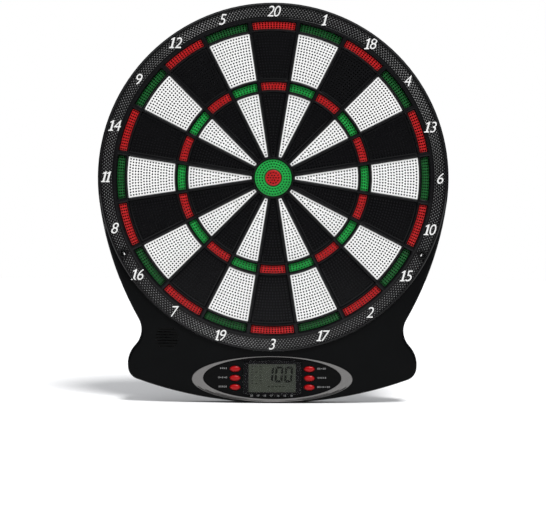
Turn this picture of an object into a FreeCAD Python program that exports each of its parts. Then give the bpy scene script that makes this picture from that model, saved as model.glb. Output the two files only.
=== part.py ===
"""Electronic soft-tip dartboard, built as it comes apart on a bench.

Working frame of this file: x to the right as the player sees it, y up, z is the height above the wall.
Every piece is turned into the row frame on export: +Z up, the face towards -Y, the wall at Y = 0.
The origin is on the wall face, straight behind the bullseye. All sizes are in millimetres.
"""

import FreeCAD, Part

import math
import os

from FreeCAD import Vector

# Outline of the housing: a chain of arcs, each one tangent to the next.
HEAD_RADIUS = 223.0
SIDE_RADIUS = 418.0
SIDE_START_DEG = 8.0
NECK_HALF_WIDTH = 166.6
NECK_RADIUS = 28.0
FLANK_HALF_WIDTH = 183.7
FLANK_RADIUS = 35.5
CORNER_RADIUS = 17.3
FOOT_RADIUS = 511.0
FOOT_BOTTOM = -285.7

# Heights above the wall.
WALL = 2.0
PARTING = 13.0
TONGUE_TOP = 15.0
TONGUE_START = 10.0
FACE = 24.0
SHELF_TOP = 20.0
SHELF_UNDER = 17.8
SPIDER_UNDER = 16.0
SPIDER_FLANGE_TOP = 17.6
SLOPE_FOOT = 25.2
SPIDER_TOP = 27.0
SEGMENT_FACE = 25.0
GREEN_FACE = 22.6
SEGMENT_FOOT = 14.7
CUSHION_TOP = 13.4
FILM_TOP = 12.4
FILM = 0.3
PLATE_TOP = 11.5
PLATE_UNDER = 8.5
RIB_TOP = 8.2

# Front edges and shell details.
FRONT_ROUND = 4.0
BACK_ROUND = 1.5
TONGUE_GAP = 0.2
TONGUE = 1.2
RECESS_RADIUS = 220.8
RECESS_WALL_RADIUS = 223.5
TARGET_OPENING = 204.2

# The target: circles that the spider's rings follow, and how far each wall or segment stays off them.
SECTORS = 20
SECTOR_DEG = 360.0 / SECTORS
NUMBERS = (20, 1, 18, 4, 13, 6, 10, 15, 2, 17, 3, 19, 7, 16, 8, 11, 14, 9, 12, 5)
BULL_RING = 25.4
TRIPLE_INNER = 109.6
TRIPLE_OUTER = 123.1
DOUBLE_INNER = 186.8
DOUBLE_OUTER = 199.8
RING_PAIRS = (
    (BULL_RING, TRIPLE_INNER),
    (TRIPLE_INNER, TRIPLE_OUTER),
    (TRIPLE_OUTER, DOUBLE_INNER),
    (DOUBLE_INNER, DOUBLE_OUTER),
)
SIDE_EXTRAS = (0.4, 0.8, 0.4, 1.5)
WEB_HALF = 1.8
RIDGE_HALF = 0.5
SEGMENT_INSET = 2.1
FLANGE_INSET = 1.0
FLANGE_THICK = 1.0
SEGMENT_PLATE = 4.0
SKIRT = 1.2
INNER_BULL_RADIUS = 10.0
BULL_GAP = 0.3
BULL_LIP = 11.5
BULL_LEDGE = 21.8
BULL_COLLAR = 2.0

# Catch ring.
RING_OUTER = 220.5
RING_INNER = 203.0
TROUGH_INNER = 204.0
TROUGH_OUTER = 217.0
TROUGH_FLOOR = 24.0
RING_TOP = 27.0
LIP_TOP = 28.2
CHANNEL_TOP = 22.4
CHANNEL_WALL = 1.8

# Fasteners and bosses round the target.
SPIDER_RIM = 202.8
SPIDER_FLANGE = 212.0
SKIRT_INNER = 202.6
SKIRT_OUTER = 206.4
SHEET_RADIUS = 201.5
RING_SCREW_CIRCLE = 209.4
RING_SCREW_DEGS = [90.0 + 36.0 * k for k in range(10)]
RING_BOSS = 2.6
PLATE_SCREW_CIRCLE = 204.5
PLATE_SCREW_DEGS = [72.0 + 36.0 * k for k in range(10)]
HOUSING_SCREW_CIRCLE = 216.0
HOUSING_SCREW_DEGS = (0.0, 36.0, 72.0, 108.0, 144.0, 180.0)
LOBE_SCREWS = ((157.0, -192.0), (173.0, -240.0), (97.0, -265.0))
HOUSING_BOSS = 3.0

# Wall fixings: two screws through the catch ring.
WALL_SCREW_CIRCLE = 212.8
WALL_SCREW_DEGS = (-27.0, -153.0)
WALL_SCREW_HOLE = 2.25
WALL_SCREW_HEAD = 4.0
WALL_TUBE = 5.2

# Console.
OVAL_Y = -254.0
TRIM_OUTER = (101.7, 29.0)
TRIM_INNER = (87.6, 25.3)
TRIM_TOP = 25.6
PANEL = (88.2, 25.9)
PANEL_UNDER = 22.0
PANEL_OPENING = (88.6, 26.3)
PANEL_FLANGE = (91.0, 28.5)
PANEL_FLANGE_BORE = (87.0, 24.6)
PANEL_FLANGE_UNDER = 21.0
LENS_HALF_WIDTH = 38.0
LENS_OVAL = (86.4, 23.6)
LENS_UNDER = 22.6
LENS_GAP = 0.15
LENS_LEDGE = 1.2
BUTTON_X = 47.1
BUTTON_STEP = 11.6
BUTTON = (6.9, 4.0)
BUTTON_HOLE = (7.2, 4.3)
BUTTON_TOP = 26.4
BUTTON_DOME = 1.1
BUTTON_FLANGE = (8.3, 5.2)
BUTTON_FOOT = 18.8
BUTTON_NAMES = {
    -1: ("button_left_top", "button_left_middle", "button_left_bottom"),
    1: ("button_right_top", "button_right_middle", "button_right_bottom"),
}
BOARD = (66.0, -276.0, -230.0)
BOARD_UNDER = 13.0
BOARD_TOP = 14.6
BOARD_POSTS = [(x, y) for x in (-61.0, 61.0) for y in (-240.0, -267.0)]
LCD_HALF = (33.0, 21.0)
LCD_UNDER = 18.5
LCD_TOP = 21.3
KEYPAD_TOP = 15.8
SOCKET_Y = -234.5
DOME_TOP = 17.7

# Speaker, in the left lobe.
SPEAKER = (-133.8, -203.0)
SPEAKER_RADIUS = 18.0
GRILLE_RADIUS = 15.0
GRILLE_STEP = 3.6
GRILLE_SLOT = 1.5

# Battery compartment, in the right lobe.
CELL_X = (101.5, 159.5)
CELL_Y = (-248.0, -202.0)
CELL_CEILING = 17.0
BAY_WALL = 1.5
CELL_RADIUS = 7.1
CELL_STEP = 15.0
CELL_Z = 9.6
CELL_BODY = 49.2
CELL_NUB = 1.4
SPRING_LENGTH = 4.2
LEAF_HALF_WIDTH = 2.5
DOOR_THICK = 1.8
DOOR_GAP = 0.3
DOOR_BARREL = 1.6
DOOR_PEG = 0.9
DOOR_PEG_HOLE = 1.0
DOOR_PEG_LENGTH = 1.0
LATCH_TOP = 4.0
TAG_REACH = 4.0
TAG_LOW = 13.0
TAG_HIGH = 13.5


# ---------------------------------------------------------------- shapes

def polar(radius, degrees, z=0.0):
    turn = math.radians(degrees)
    return Vector(radius * math.cos(turn), radius * math.sin(turn), z)


def disc(radius, low, high, at=(0.0, 0.0)):
    return Part.makeCylinder(radius, high - low, Vector(at[0], at[1], low))


def ring(outer, inner, low, high, at=(0.0, 0.0)):
    return disc(outer, low, high, at).cut(disc(inner, low - 1, high + 1, at))


def box(xs, ys, low, high):
    corner = Vector(min(xs), min(ys), low)
    return Part.makeBox(abs(xs[1] - xs[0]), abs(ys[1] - ys[0]), high - low, corner)


def prism(face, low, high):
    lifted = face.copy()
    lifted.translate(Vector(0, 0, low))
    return lifted.extrude(Vector(0, 0, high - low))


def oval(half, low, high, at=(0.0, OVAL_Y)):
    centre = Vector(at[0], at[1], 0)
    edge = Part.Ellipse(centre, half[0], half[1]).toShape()
    return prism(Part.Face(Part.Wire(edge)), low, high)


def revolved(points, at=(0.0, 0.0)):
    """A solid turned about the z axis from (radius, height) points, moved to a place on the face."""
    corners = [Vector(r, 0, z) for r, z in points]
    face = Part.Face(Part.makePolygon(corners + corners[:1]))
    solid = face.revolve(Vector(0, 0, 0), Vector(0, 0, 1), 360)
    solid.translate(Vector(at[0], at[1], 0))
    return solid


def arc(centre, start, end):
    """The shorter arc about a centre from one point to another."""
    radius = (start - centre).Length
    towards = (start - centre) + (end - centre)
    towards.normalize()
    return Part.Arc(start, centre + towards * radius, end).toShape()


def joined(first, others):
    return first.fuse(list(others)).removeSplitter()


def screw(x, y, head_low, head_high, tip, head_radius, shank_radius):
    """A pan-head screw driven from the back."""
    head = disc(head_radius, head_low, head_high, (x, y))
    drive = box((x - 1.1, x + 1.1), (y - 0.25, y + 0.25), head_low - 0.1, head_low + 0.6)
    cross = box((x - 0.25, x + 0.25), (y - 1.1, y + 1.1), head_low - 0.1, head_low + 0.6)
    shank = disc(shank_radius, head_high, tip, (x, y))
    return head.cut([drive, cross]).fuse(shank)


# ---------------------------------------------------------------- outline

def towards(start, end, length):
    step = end - start
    step.normalize()
    return start + step * length


def outline_centres():
    """Centres of the arcs on the right-hand side, from the head down to the foot."""
    head = Vector(0, 0, 0)
    side = polar(SIDE_RADIUS - HEAD_RADIUS, 180.0 - SIDE_START_DEG)
    neck_x = NECK_HALF_WIDTH + NECK_RADIUS
    drop = math.sqrt((SIDE_RADIUS + NECK_RADIUS) ** 2 - (neck_x - side.x) ** 2)
    neck = Vector(neck_x, side.y - drop, 0)
    flank_x = FLANK_HALF_WIDTH - FLANK_RADIUS
    drop = math.sqrt((NECK_RADIUS + FLANK_RADIUS) ** 2 - (flank_x - neck_x) ** 2)
    flank = Vector(flank_x, neck.y - drop, 0)
    foot = Vector(0, FOOT_BOTTOM + FOOT_RADIUS, 0)
    corner = circles_meet(flank, FLANK_RADIUS - CORNER_RADIUS, foot, FOOT_RADIUS - CORNER_RADIUS)
    return head, side, neck, flank, corner, foot


def circles_meet(first, first_radius, second, second_radius):
    """The right-hand point where two circles meet."""
    gap = second - first
    along = (first_radius**2 - second_radius**2 + gap.Length**2) / (2 * gap.Length)
    aside = math.sqrt(first_radius**2 - along**2)
    foot = towards(first, second, along)
    across = Vector(-gap.y, gap.x, 0)
    across.normalize()
    return max((foot + across * aside, foot - across * aside), key=lambda p: p.x)


def outline(inset):
    """The housing's outline as a face, moved inwards by inset."""
    head, side, neck, flank, corner, foot = outline_centres()
    top = Vector(0, HEAD_RADIUS - inset, 0)
    head_end = polar(HEAD_RADIUS - inset, -SIDE_START_DEG)
    side_end = towards(side, neck, SIDE_RADIUS - inset)
    neck_end = towards(flank, neck, FLANK_RADIUS - inset)
    flank_end = towards(flank, corner, FLANK_RADIUS - inset)
    corner_end = towards(foot, corner, FOOT_RADIUS - inset)
    right = [
        arc(head, top, head_end),
        arc(side, head_end, side_end),
        arc(neck, side_end, neck_end),
        arc(flank, neck_end, flank_end),
        arc(corner, flank_end, corner_end),
    ]
    left = [edge.mirror(Vector(0, 0, 0), Vector(1, 0, 0)) for edge in right]
    base = arc(foot, corner_end, Vector(-corner_end.x, corner_end.y, 0))
    edges = Part.sortEdges(right + left + [base])[0]
    return Part.Face(Part.Wire(edges))


def edges_at(solid, z):
    return [e for e in solid.Edges if all(abs(v.Z - z) < 1e-6 for v in e.Vertexes)]


def housing_screw_places():
    round_target = [polar(HOUSING_SCREW_CIRCLE, d) for d in HOUSING_SCREW_DEGS]
    lobes = [Vector(side * x, y, 0) for side in (-1, 1) for x, y in LOBE_SCREWS]
    return [(p.x, p.y) for p in round_target + lobes]


def places(circle, degrees):
    return [(polar(circle, d).x, polar(circle, d).y) for d in degrees]


def wall_screw_places():
    return places(WALL_SCREW_CIRCLE, WALL_SCREW_DEGS)


# ---------------------------------------------------------------- housing

def front_housing():
    """The front shell: rounded front edge, a shelf round the target, bosses and the speaker grille."""
    shell = prism(outline(0), PARTING, FACE)
    shell = shell.makeFillet(FRONT_ROUND, edges_at(shell, FACE))
    cavity = prism(outline(WALL), PARTING - 1, FACE - WALL)
    cavity = cavity.cut(disc(RECESS_WALL_RADIUS, SHELF_UNDER, FACE))
    shell = shell.cut([cavity, disc(RECESS_RADIUS, SHELF_TOP, FACE + 1)])
    shell = shell.cut(disc(TARGET_OPENING, PARTING - 1, FACE))
    bosses = [disc(HOUSING_BOSS, WALL + 0.2, SHELF_UNDER + 0.5, p) for p in housing_screw_places()]
    collar = ring(SPEAKER_RADIUS + 1.8, SPEAKER_RADIUS + 0.4, 14.5, FACE - WALL + 0.5, SPEAKER)
    shell = joined(shell, bosses_up_to_face(bosses) + [collar])
    cuts = [disc(1.3, 0, 14.0, p) for p in housing_screw_places()]
    cuts += [disc(RING_BOSS + 0.3, 17, 21, p) for p in places(RING_SCREW_CIRCLE, RING_SCREW_DEGS)]
    cuts += [disc(WALL_SCREW_HEAD + 0.1, 17, 21, p) for p in wall_screw_places()]
    cuts += [oval(PANEL_OPENING, FACE - WALL - 1, FACE + 1)]
    cuts += [disc(1.35, FACE - WALL - 1, FACE + 1, p) for p in trim_pin_places()]
    cuts += grille_slots()
    return shell.cut(cuts)


def bosses_up_to_face(bosses):
    """Bosses away from the target go on up to the face plate."""
    raised = []
    for boss, (x, y) in zip(bosses, housing_screw_places()):
        if math.hypot(x, y) > RECESS_WALL_RADIUS:
            boss = disc(HOUSING_BOSS, WALL + 0.2, FACE - WALL + 0.5, (x, y))
        raised.append(boss)
    return raised


def grille_slots():
    slots = []
    for k in range(-3, 4):
        rise = k * GRILLE_STEP
        half = math.sqrt(GRILLE_RADIUS**2 - rise**2) - 1.0
        y = SPEAKER[1] + rise
        bar = box((SPEAKER[0] - half, SPEAKER[0] + half), (y - GRILLE_SLOT / 2, y + GRILLE_SLOT / 2), 20, 26)
        slots.append(bar)
        slots += [disc(GRILLE_SLOT / 2, 20, 26, (SPEAKER[0] + end * half, y)) for end in (-1, 1)]
    return slots


def rear_housing():
    """The back shell: ribbed tray, tongue for the front shell, wall fixings and the battery bay."""
    tray = prism(outline(0), 0, PARTING)
    tray = tray.makeFillet(BACK_ROUND, edges_at(tray, 0))
    tray = tray.fuse(prism(outline(WALL + TONGUE_GAP), TONGUE_START, TONGUE_TOP))
    tray = tray.cut([
        prism(outline(WALL), WALL, TONGUE_START),
        prism(outline(WALL + TONGUE_GAP + TONGUE), TONGUE_START - 1, TONGUE_TOP + 1),
    ])
    ribs = [ring(radius, radius - 1.2, WALL - 0.5, RIB_TOP) for radius in (70.0, 140.0)]
    for k in range(10):
        rib = box((12.0, 198.0), (-0.6, 0.6), WALL - 0.5, RIB_TOP)
        rib.rotate(Vector(0, 0, 0), Vector(0, 0, 1), 36.0 * k)
        ribs.append(rib)
    tubes = [disc(WALL_TUBE, WALL - 0.5, SPIDER_FLANGE_TOP, p) for p in wall_screw_places()]
    bay_x = (CELL_X[0] - BAY_WALL, CELL_X[1] + BAY_WALL)
    bay_y = (CELL_Y[0] - BAY_WALL, CELL_Y[1] + BAY_WALL)
    bay = box(bay_x, bay_y, WALL - 0.5, CELL_CEILING + BAY_WALL)
    tray = joined(tray, ribs + tubes + [bay])
    return tray.cut(rear_cuts())


def rear_cuts():
    cuts = [disc(WALL_SCREW_HOLE, -1, 20, p) for p in wall_screw_places()]
    cuts += [disc(1.6, -1, 4, p) for p in housing_screw_places()]
    cuts += [disc(3.2, -1, 1.3, p) for p in housing_screw_places()]
    cuts.append(box(CELL_X, CELL_Y, -1, CELL_CEILING))
    cuts.append(door_rod(DOOR_PEG_HOLE, CELL_X[0] - 1.3, CELL_X[1] + 1.3))
    cuts.append(disc(7.0, -1, 1.1, (sum(CELL_X) / 2, CELL_Y[1] + 3.0)))
    for wall, _, y in tag_places():
        cuts.append(box((wall - 2.0, wall + 2.0), (y - 1.8, y + 1.8), TAG_LOW - 0.3, TAG_HIGH + 0.3))
    cuts += [ring(radius + 1.0, radius - 2.2, -1, 0.6) for radius in (70.0, 140.0)]
    for k in range(10):
        groove = box((76.0, 132.0), (-1.5, 1.5), -1, 0.6)
        groove.rotate(Vector(0, 0, 0), Vector(0, 0, 1), 36.0 * k)
        cuts.append(groove)
    return cuts


def door_rod(radius, start, end):
    """A rod on the battery door's hinge line."""
    at = Vector(start, CELL_Y[0] + DOOR_GAP + DOOR_BARREL, DOOR_BARREL)
    return Part.makeCylinder(radius, end - start, at, Vector(1, 0, 0))


def battery_door():
    """The door's plate, the barrel and pegs along its lower edge, and its latch block at the top."""
    xs = (CELL_X[0] + DOOR_GAP, CELL_X[1] - DOOR_GAP)
    ys = (CELL_Y[0] + DOOR_GAP + DOOR_BARREL, CELL_Y[1] - DOOR_GAP)
    plate = box(xs, ys, 0, DOOR_THICK)
    middle = sum(CELL_X) / 2
    extras = [box((middle - 5, middle + 5), (CELL_Y[1] - 3.0, CELL_Y[1] - 1.0), DOOR_THICK - 0.1, LATCH_TOP)]
    extras.append(door_rod(DOOR_BARREL, *xs))
    extras.append(door_rod(DOOR_PEG, xs[0] - DOOR_PEG_LENGTH, xs[1] + DOOR_PEG_LENGTH))
    grips = [box((middle - 9, middle + 9), (y, y + 0.8), -1, 0.5) for y in (-212.0, -214.2, -216.4, -218.6)]
    return joined(plate, extras).cut(grips)


# ---------------------------------------------------------------- target

def half_angle(radius, inset):
    """Degrees from a sector's middle to a line that runs inset inside its side, at a radius."""
    return SECTOR_DEG / 2 - math.degrees(math.asin(inset / radius))


def patch(ring_pair, inset, z=0.0):
    """The wire of one sector between a pair of circles, pulled in by inset, about the x axis.

    The two straight sides are pulled in further, by the pair's own extra.
    """
    inner, outer = ring_pair
    low, high = inner + inset, outer - inset
    aside = inset + SIDE_EXTRAS[RING_PAIRS.index(ring_pair)]
    at_low, at_high = half_angle(low, aside), half_angle(high, aside)
    a, b = polar(high, -at_high, z), polar(high, at_high, z)
    c, d = polar(low, at_low, z), polar(low, -at_low, z)
    return Part.Wire([
        Part.Arc(a, Vector(high, 0, z), b).toShape(),
        Part.LineSegment(b, c).toShape(),
        Part.Arc(c, Vector(low, 0, z), d).toShape(),
        Part.LineSegment(d, a).toShape(),
    ])


def turned(shape, degrees):
    copy = shape.copy()
    copy.rotate(Vector(0, 0, 0), Vector(0, 0, 1), degrees)
    return copy


def sector_turn(index):
    """The direction of a sector's middle: the first is at the top and they run clockwise."""
    return 90.0 - SECTOR_DEG * index


def cell_cutter(pair):
    """What one segment's opening takes out of the spider: straight walls, then sloping flanks."""
    over = 0.2
    slope = (WEB_HALF - RIDGE_HALF) / (SPIDER_TOP - SLOPE_FOOT)
    foot = patch(pair, WEB_HALF, SLOPE_FOOT)
    rim = patch(pair, RIDGE_HALF - slope * over, SPIDER_TOP + over)
    straight = prism(Part.Face(patch(pair, WEB_HALF)), SPIDER_UNDER - 1, SLOPE_FOOT)
    return straight.fuse(Part.makeLoft([foot, rim], True, True))


def spider():
    """The web that the segments stand in, its rim and flange, and the skirt that carries the backing plate.

    It is one moulding in life. Here it is parted into straight bars and short arcs that touch face to face,
    so that every one of them is close to convex.
    """
    web = joined(disc(SPIDER_RIM, SPIDER_UNDER, SPIDER_TOP), [
        disc(SPIDER_FLANGE, SPIDER_UNDER, SPIDER_FLANGE_TOP),
        ring(SKIRT_OUTER, SKIRT_INNER, PLATE_TOP, SPIDER_UNDER + 0.5),
    ])
    bull = disc(BULL_RING - WEB_HALF, SPIDER_UNDER - 1, SLOPE_FOOT)
    flare = Part.makeCone(
        BULL_RING - WEB_HALF, BULL_RING - RIDGE_HALF, SPIDER_TOP - SLOPE_FOOT, Vector(0, 0, SLOPE_FOOT)
    )
    cuts = [bull.fuse(flare)]
    for pair in RING_PAIRS:
        cutter = cell_cutter(pair)
        cuts += [turned(cutter, sector_turn(k)) for k in range(SECTORS)]
    cuts += [disc(1.4, 15, 19, p) for p in places(RING_SCREW_CIRCLE, RING_SCREW_DEGS)]
    cuts += [disc(1.1, 10, 15.5, p) for p in places(PLATE_SCREW_CIRCLE, PLATE_SCREW_DEGS)]
    cuts += [disc(WALL_TUBE + 0.6, 15, 19, p) for p in wall_screw_places()]
    cuts.append(box((-16, 16), (-208, -201), PLATE_TOP - 1, PLATE_TOP + 1))
    web = web.cut(cuts)
    bars = [turned(bar, sector_turn(k + 0.5)) for k in range(SECTORS) for bar in bar_boxes()]
    return Part.makeCompound([web.common(b).Solids[0] for b in bars] + web.cut(bars).Solids)


def bar_boxes():
    """Boxes that part one radial bar from the rest, one box for each pair of circles."""
    starts = [BULL_RING - WEB_HALF - 1, TRIPLE_INNER, TRIPLE_OUTER, DOUBLE_INNER, SPIDER_FLANGE + 1]
    halves = [WEB_HALF + extra for extra in SIDE_EXTRAS]
    spans = zip(starts, starts[1:], halves)
    return [box(span, (-half, half), PLATE_TOP - 1, SPIDER_TOP + 1) for *span, half in spans]


def segment(pair, top):
    """One segment: a plate, a skirt round its underside and a flange that stops it falling out forwards."""
    body = prism(Part.Face(patch(pair, SEGMENT_INSET)), SEGMENT_FOOT, top)
    flange = prism(Part.Face(patch(pair, FLANGE_INSET)), SEGMENT_FOOT, SEGMENT_FOOT + FLANGE_THICK)
    hollow = prism(Part.Face(patch(pair, SEGMENT_INSET + SKIRT)), SEGMENT_FOOT - 1, top - SEGMENT_PLATE)
    return body.fuse(flange).cut(hollow)


def sector(index):
    """The four segments of one number, from the inner single out to the double.

    In every second sector the triple and double are green, and their faces lie deeper in the web.
    """
    ring_face = GREEN_FACE if index % 2 else SEGMENT_FACE
    tops = (SEGMENT_FACE, ring_face, SEGMENT_FACE, ring_face)
    pieces = [segment(pair, top) for pair, top in zip(RING_PAIRS, tops)]
    return Part.makeCompound([turned(piece, sector_turn(index)) for piece in pieces])


def outer_bull():
    """A perforated ring whose bore steps in to a collar that guides the inner bull."""
    radius = BULL_RING - SEGMENT_INSET
    bore = INNER_BULL_RADIUS + BULL_GAP
    return revolved([
        (BULL_LIP, SEGMENT_FACE),
        (radius, SEGMENT_FACE),
        (radius, SEGMENT_FOOT + FLANGE_THICK),
        (radius + FLANGE_THICK, SEGMENT_FOOT + FLANGE_THICK),
        (radius + FLANGE_THICK, SEGMENT_FOOT),
        (radius - SKIRT, SEGMENT_FOOT),
        (radius - SKIRT, SEGMENT_FACE - SEGMENT_PLATE),
        (bore + BULL_COLLAR, SEGMENT_FACE - SEGMENT_PLATE),
        (bore + BULL_COLLAR, SEGMENT_FOOT + 2.6),
        (bore, SEGMENT_FOOT + 2.6),
        (bore, BULL_LEDGE),
        (BULL_LIP, BULL_LEDGE),
    ])


def inner_bull():
    """The inner bull is held by a flange that sits under the outer bull's collar."""
    return revolved([
        (0, SEGMENT_FACE),
        (INNER_BULL_RADIUS, SEGMENT_FACE),
        (INNER_BULL_RADIUS, SEGMENT_FOOT + 1.2),
        (INNER_BULL_RADIUS + 1.9, SEGMENT_FOOT + 1.2),
        (INNER_BULL_RADIUS + 1.9, SEGMENT_FOOT),
        (INNER_BULL_RADIUS - SKIRT, SEGMENT_FOOT),
        (INNER_BULL_RADIUS - SKIRT, SEGMENT_FACE - SEGMENT_PLATE),
        (0, SEGMENT_FACE - SEGMENT_PLATE),
    ])


def catch_ring():
    """The ring round the target that stops stray darts, with the trough that its honeycomb fills."""
    body = revolved([
        (RING_INNER, SHELF_TOP),
        (RING_INNER, RING_TOP),
        (TROUGH_INNER, RING_TOP),
        (TROUGH_INNER, TROUGH_FLOOR),
        (TROUGH_OUTER, TROUGH_FLOOR),
        (TROUGH_OUTER, RING_TOP),
        (TROUGH_OUTER + 0.9, LIP_TOP),
        (RING_OUTER - 1.1, LIP_TOP),
        (RING_OUTER, LIP_TOP - 1.3),
        (RING_OUTER, SHELF_TOP),
        (RING_OUTER - CHANNEL_WALL, SHELF_TOP),
        (RING_OUTER - CHANNEL_WALL, CHANNEL_TOP),
        (RING_INNER + CHANNEL_WALL, CHANNEL_TOP),
        (RING_INNER + CHANNEL_WALL, SHELF_TOP),
    ])
    screws = places(RING_SCREW_CIRCLE, RING_SCREW_DEGS)
    fixings = wall_screw_places()
    bosses = [disc(RING_BOSS, SPIDER_FLANGE_TOP, CHANNEL_TOP + 0.5, p) for p in screws]
    collars = [disc(WALL_SCREW_HEAD + 1.6, SHELF_TOP, RING_TOP, p) for p in fixings]
    body = joined(body, bosses + collars)
    cuts = [disc(1.2, 16, 22.5, p) for p in screws]
    cuts += [disc(WALL_SCREW_HEAD, 16, 30, p) for p in fixings]
    return body.cut(cuts)


# ---------------------------------------------------------------- sensor stack

def sheet(low, high, radius=SHEET_RADIUS):
    return disc(radius, low, high)


def sensor_spacer():
    """The thin sheet between the two printed films, open where each segment presses."""
    spacer = sheet(FILM_TOP - 2 * FILM, FILM_TOP - FILM)
    holes = [disc(6.0, 5, 20)]
    for radius, size in ((66.0, 6.0), (116.5, 3.5), (154.5, 8.0), (193.0, 3.5)):
        holes += [disc(size, 5, 20, p) for p in places(radius, [SECTOR_DEG * k for k in range(SECTORS)])]
    return spacer.cut(holes)


def backing_plate():
    plate = disc(SKIRT_OUTER, PLATE_UNDER, PLATE_TOP)
    return plate.cut([disc(1.3, 5, 15, p) for p in places(PLATE_SCREW_CIRCLE, PLATE_SCREW_DEGS)])


def ribbon_cable():
    """The rear film's flat tail, from its edge down to the control board's socket."""
    tail = box((-14, 14), (SOCKET_Y, 4 - SHEET_RADIUS), PLATE_TOP, PLATE_TOP + FILM)
    return tail.cut(disc(SHEET_RADIUS, PLATE_TOP - 1, PLATE_TOP + 1))


# ---------------------------------------------------------------- console

def trim_pin_places():
    return [(x, OVAL_Y + y) for x in (-91.8, 91.8) for y in (-7.0, 7.0)]


def oval_trim():
    """The silver surround: wide at the sides and narrow above and below, held by four pins."""
    trim = oval(TRIM_OUTER, FACE, TRIM_TOP)
    trim = trim.makeChamfer(0.6, edges_at(trim, TRIM_TOP))
    trim = trim.cut(oval(TRIM_INNER, FACE - 1, TRIM_TOP + 1))
    return joined(trim, [disc(1.2, FACE - WALL - 0.8, FACE + 0.5, p) for p in trim_pin_places()])


def button_places():
    """(name, x, y) of the six buttons."""
    found = []
    for side, names in BUTTON_NAMES.items():
        for row, name in enumerate(names):
            found.append((name, side * BUTTON_X, OVAL_Y + (1 - row) * BUTTON_STEP))
    return found


def lens_shape(gap, low, high):
    """The window's plan: an upright band across the oval."""
    half = (LENS_OVAL[0] - gap, LENS_OVAL[1] - gap)
    band = box((-LENS_HALF_WIDTH + gap, LENS_HALF_WIDTH - gap), (OVAL_Y - 40, OVAL_Y + 40), low, high)
    return oval(half, low, high).common(band)


def console_panel():
    """The black oval plate with button holes, a ledge for the lens, a rear flange and posts for the board."""
    panel = oval(PANEL, PANEL_UNDER, FACE)
    flange = oval(PANEL_FLANGE, PANEL_FLANGE_UNDER, PANEL_UNDER)
    flange = flange.cut(oval(PANEL_FLANGE_BORE, PANEL_FLANGE_UNDER - 1, PANEL_UNDER + 1))
    posts = [disc(2.5, BOARD_TOP, PANEL_UNDER + 0.5, p) for p in BOARD_POSTS]
    panel = joined(panel, [flange] + posts)
    cuts = [oval(BUTTON_HOLE, 20, 30, (x, y)) for _, x, y in button_places()]
    cuts += [disc(1.15, 13, 20.5, p) for p in BOARD_POSTS]
    cuts.append(lens_shape(0.0, LENS_UNDER, FACE + 1))
    cuts.append(lens_shape(LENS_LEDGE, PANEL_UNDER - 1, FACE + 1))
    return panel.cut(cuts)


def button(x, y):
    """A cap with a rounded top, a flange under the panel and a foot over the rubber dome."""
    cap = oval(BUTTON, BUTTON_FOOT, BUTTON_TOP, (x, y))
    cap = cap.makeFillet(BUTTON_DOME, edges_at(cap, BUTTON_TOP))
    return joined(cap, [oval(BUTTON_FLANGE, 20.4, 21.6, (x, y))])


def keypad():
    """One rubber strip with three domes under each column of buttons."""
    strips = []
    for side in (-1, 1):
        strip = box((side * 38.5, side * 56.5), (OVAL_Y - 19.5, OVAL_Y + 19.5), BOARD_TOP, KEYPAD_TOP)
        domes = [
            Part.makeCone(4.6, 3.2, DOME_TOP - KEYPAD_TOP + 0.1, Vector(x, y, KEYPAD_TOP - 0.1))
            for _, x, y in button_places()
            if x * side > 0
        ]
        strips.append(joined(strip, domes))
    return Part.makeCompound(strips)


def lcd_glass():
    return box((-LCD_HALF[0], LCD_HALF[0]), (OVAL_Y - LCD_HALF[1], OVAL_Y + LCD_HALF[1]), LCD_UNDER, LCD_TOP)


def lcd_frame():
    """The holder that stands on the board: the glass drops in from the front, over the rubber connector."""
    frame = box((-36, 36), (OVAL_Y - 21.9, OVAL_Y + 21.9), BOARD_TOP, LCD_TOP)
    pocket = box((-33.2, 33.2), (OVAL_Y - 21.2, OVAL_Y + 21.2), LCD_UNDER, LCD_TOP + 1)
    window = box((-30, 30), (OVAL_Y - 17.5, OVAL_Y + 18.5), BOARD_TOP - 1, LCD_TOP)
    slot = box((-28.2, 28.2), (OVAL_Y - 20.7, OVAL_Y - 18.3), BOARD_TOP - 1, LCD_TOP)
    return frame.cut([pocket, window, slot])


def lcd_connector():
    return box((-28, 28), (OVAL_Y - 20.5, OVAL_Y - 18.5), BOARD_TOP, LCD_UNDER)


def control_board():
    board = box((-BOARD[0], BOARD[0]), BOARD[1:], BOARD_UNDER, BOARD_TOP)
    return board.cut([disc(1.3, 12, 16, p) for p in BOARD_POSTS])


def board_components():
    """What is soldered to the back of the board: controller, socket, crystal, capacitors, resistors."""
    under = BOARD_UNDER
    parts = [
        box((-9, 9), (-264, -250), under - 1.8, under),
        box((-16, 16), (SOCKET_Y - 6, SOCKET_Y), under - 2.4, under),
        box((20, 31), (-262, -257.5), under - 3.0, under),
        disc(3.2, under - 6.0, under, (38, -250)),
        disc(2.6, under - 5.0, under, (-38, -250)),
    ]
    parts += [box((x, x + 3.2), (-247.6, -246), under - 0.8, under) for x in (-30, -24, -18, 16, 22)]
    return Part.makeCompound(parts)


# ---------------------------------------------------------------- speaker and power

def speaker_frame():
    """The basket: a rim against the housing, a ledge for the cone's edge and a seat for the magnet."""
    r = SPEAKER_RADIUS
    return revolved([
        (r - 3.0, FACE - WALL), (r, FACE - WALL), (r, 20.0), (r - 2.2, 20.0), (9.0, 15.8), (9.0, 14.8),
        (3.2, 14.8), (3.2, 15.8), (7.6, 15.8), (r - 4.2, 20.4), (r - 4.2, 20.8), (r - 3.0, 20.8),
    ], SPEAKER)


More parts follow.
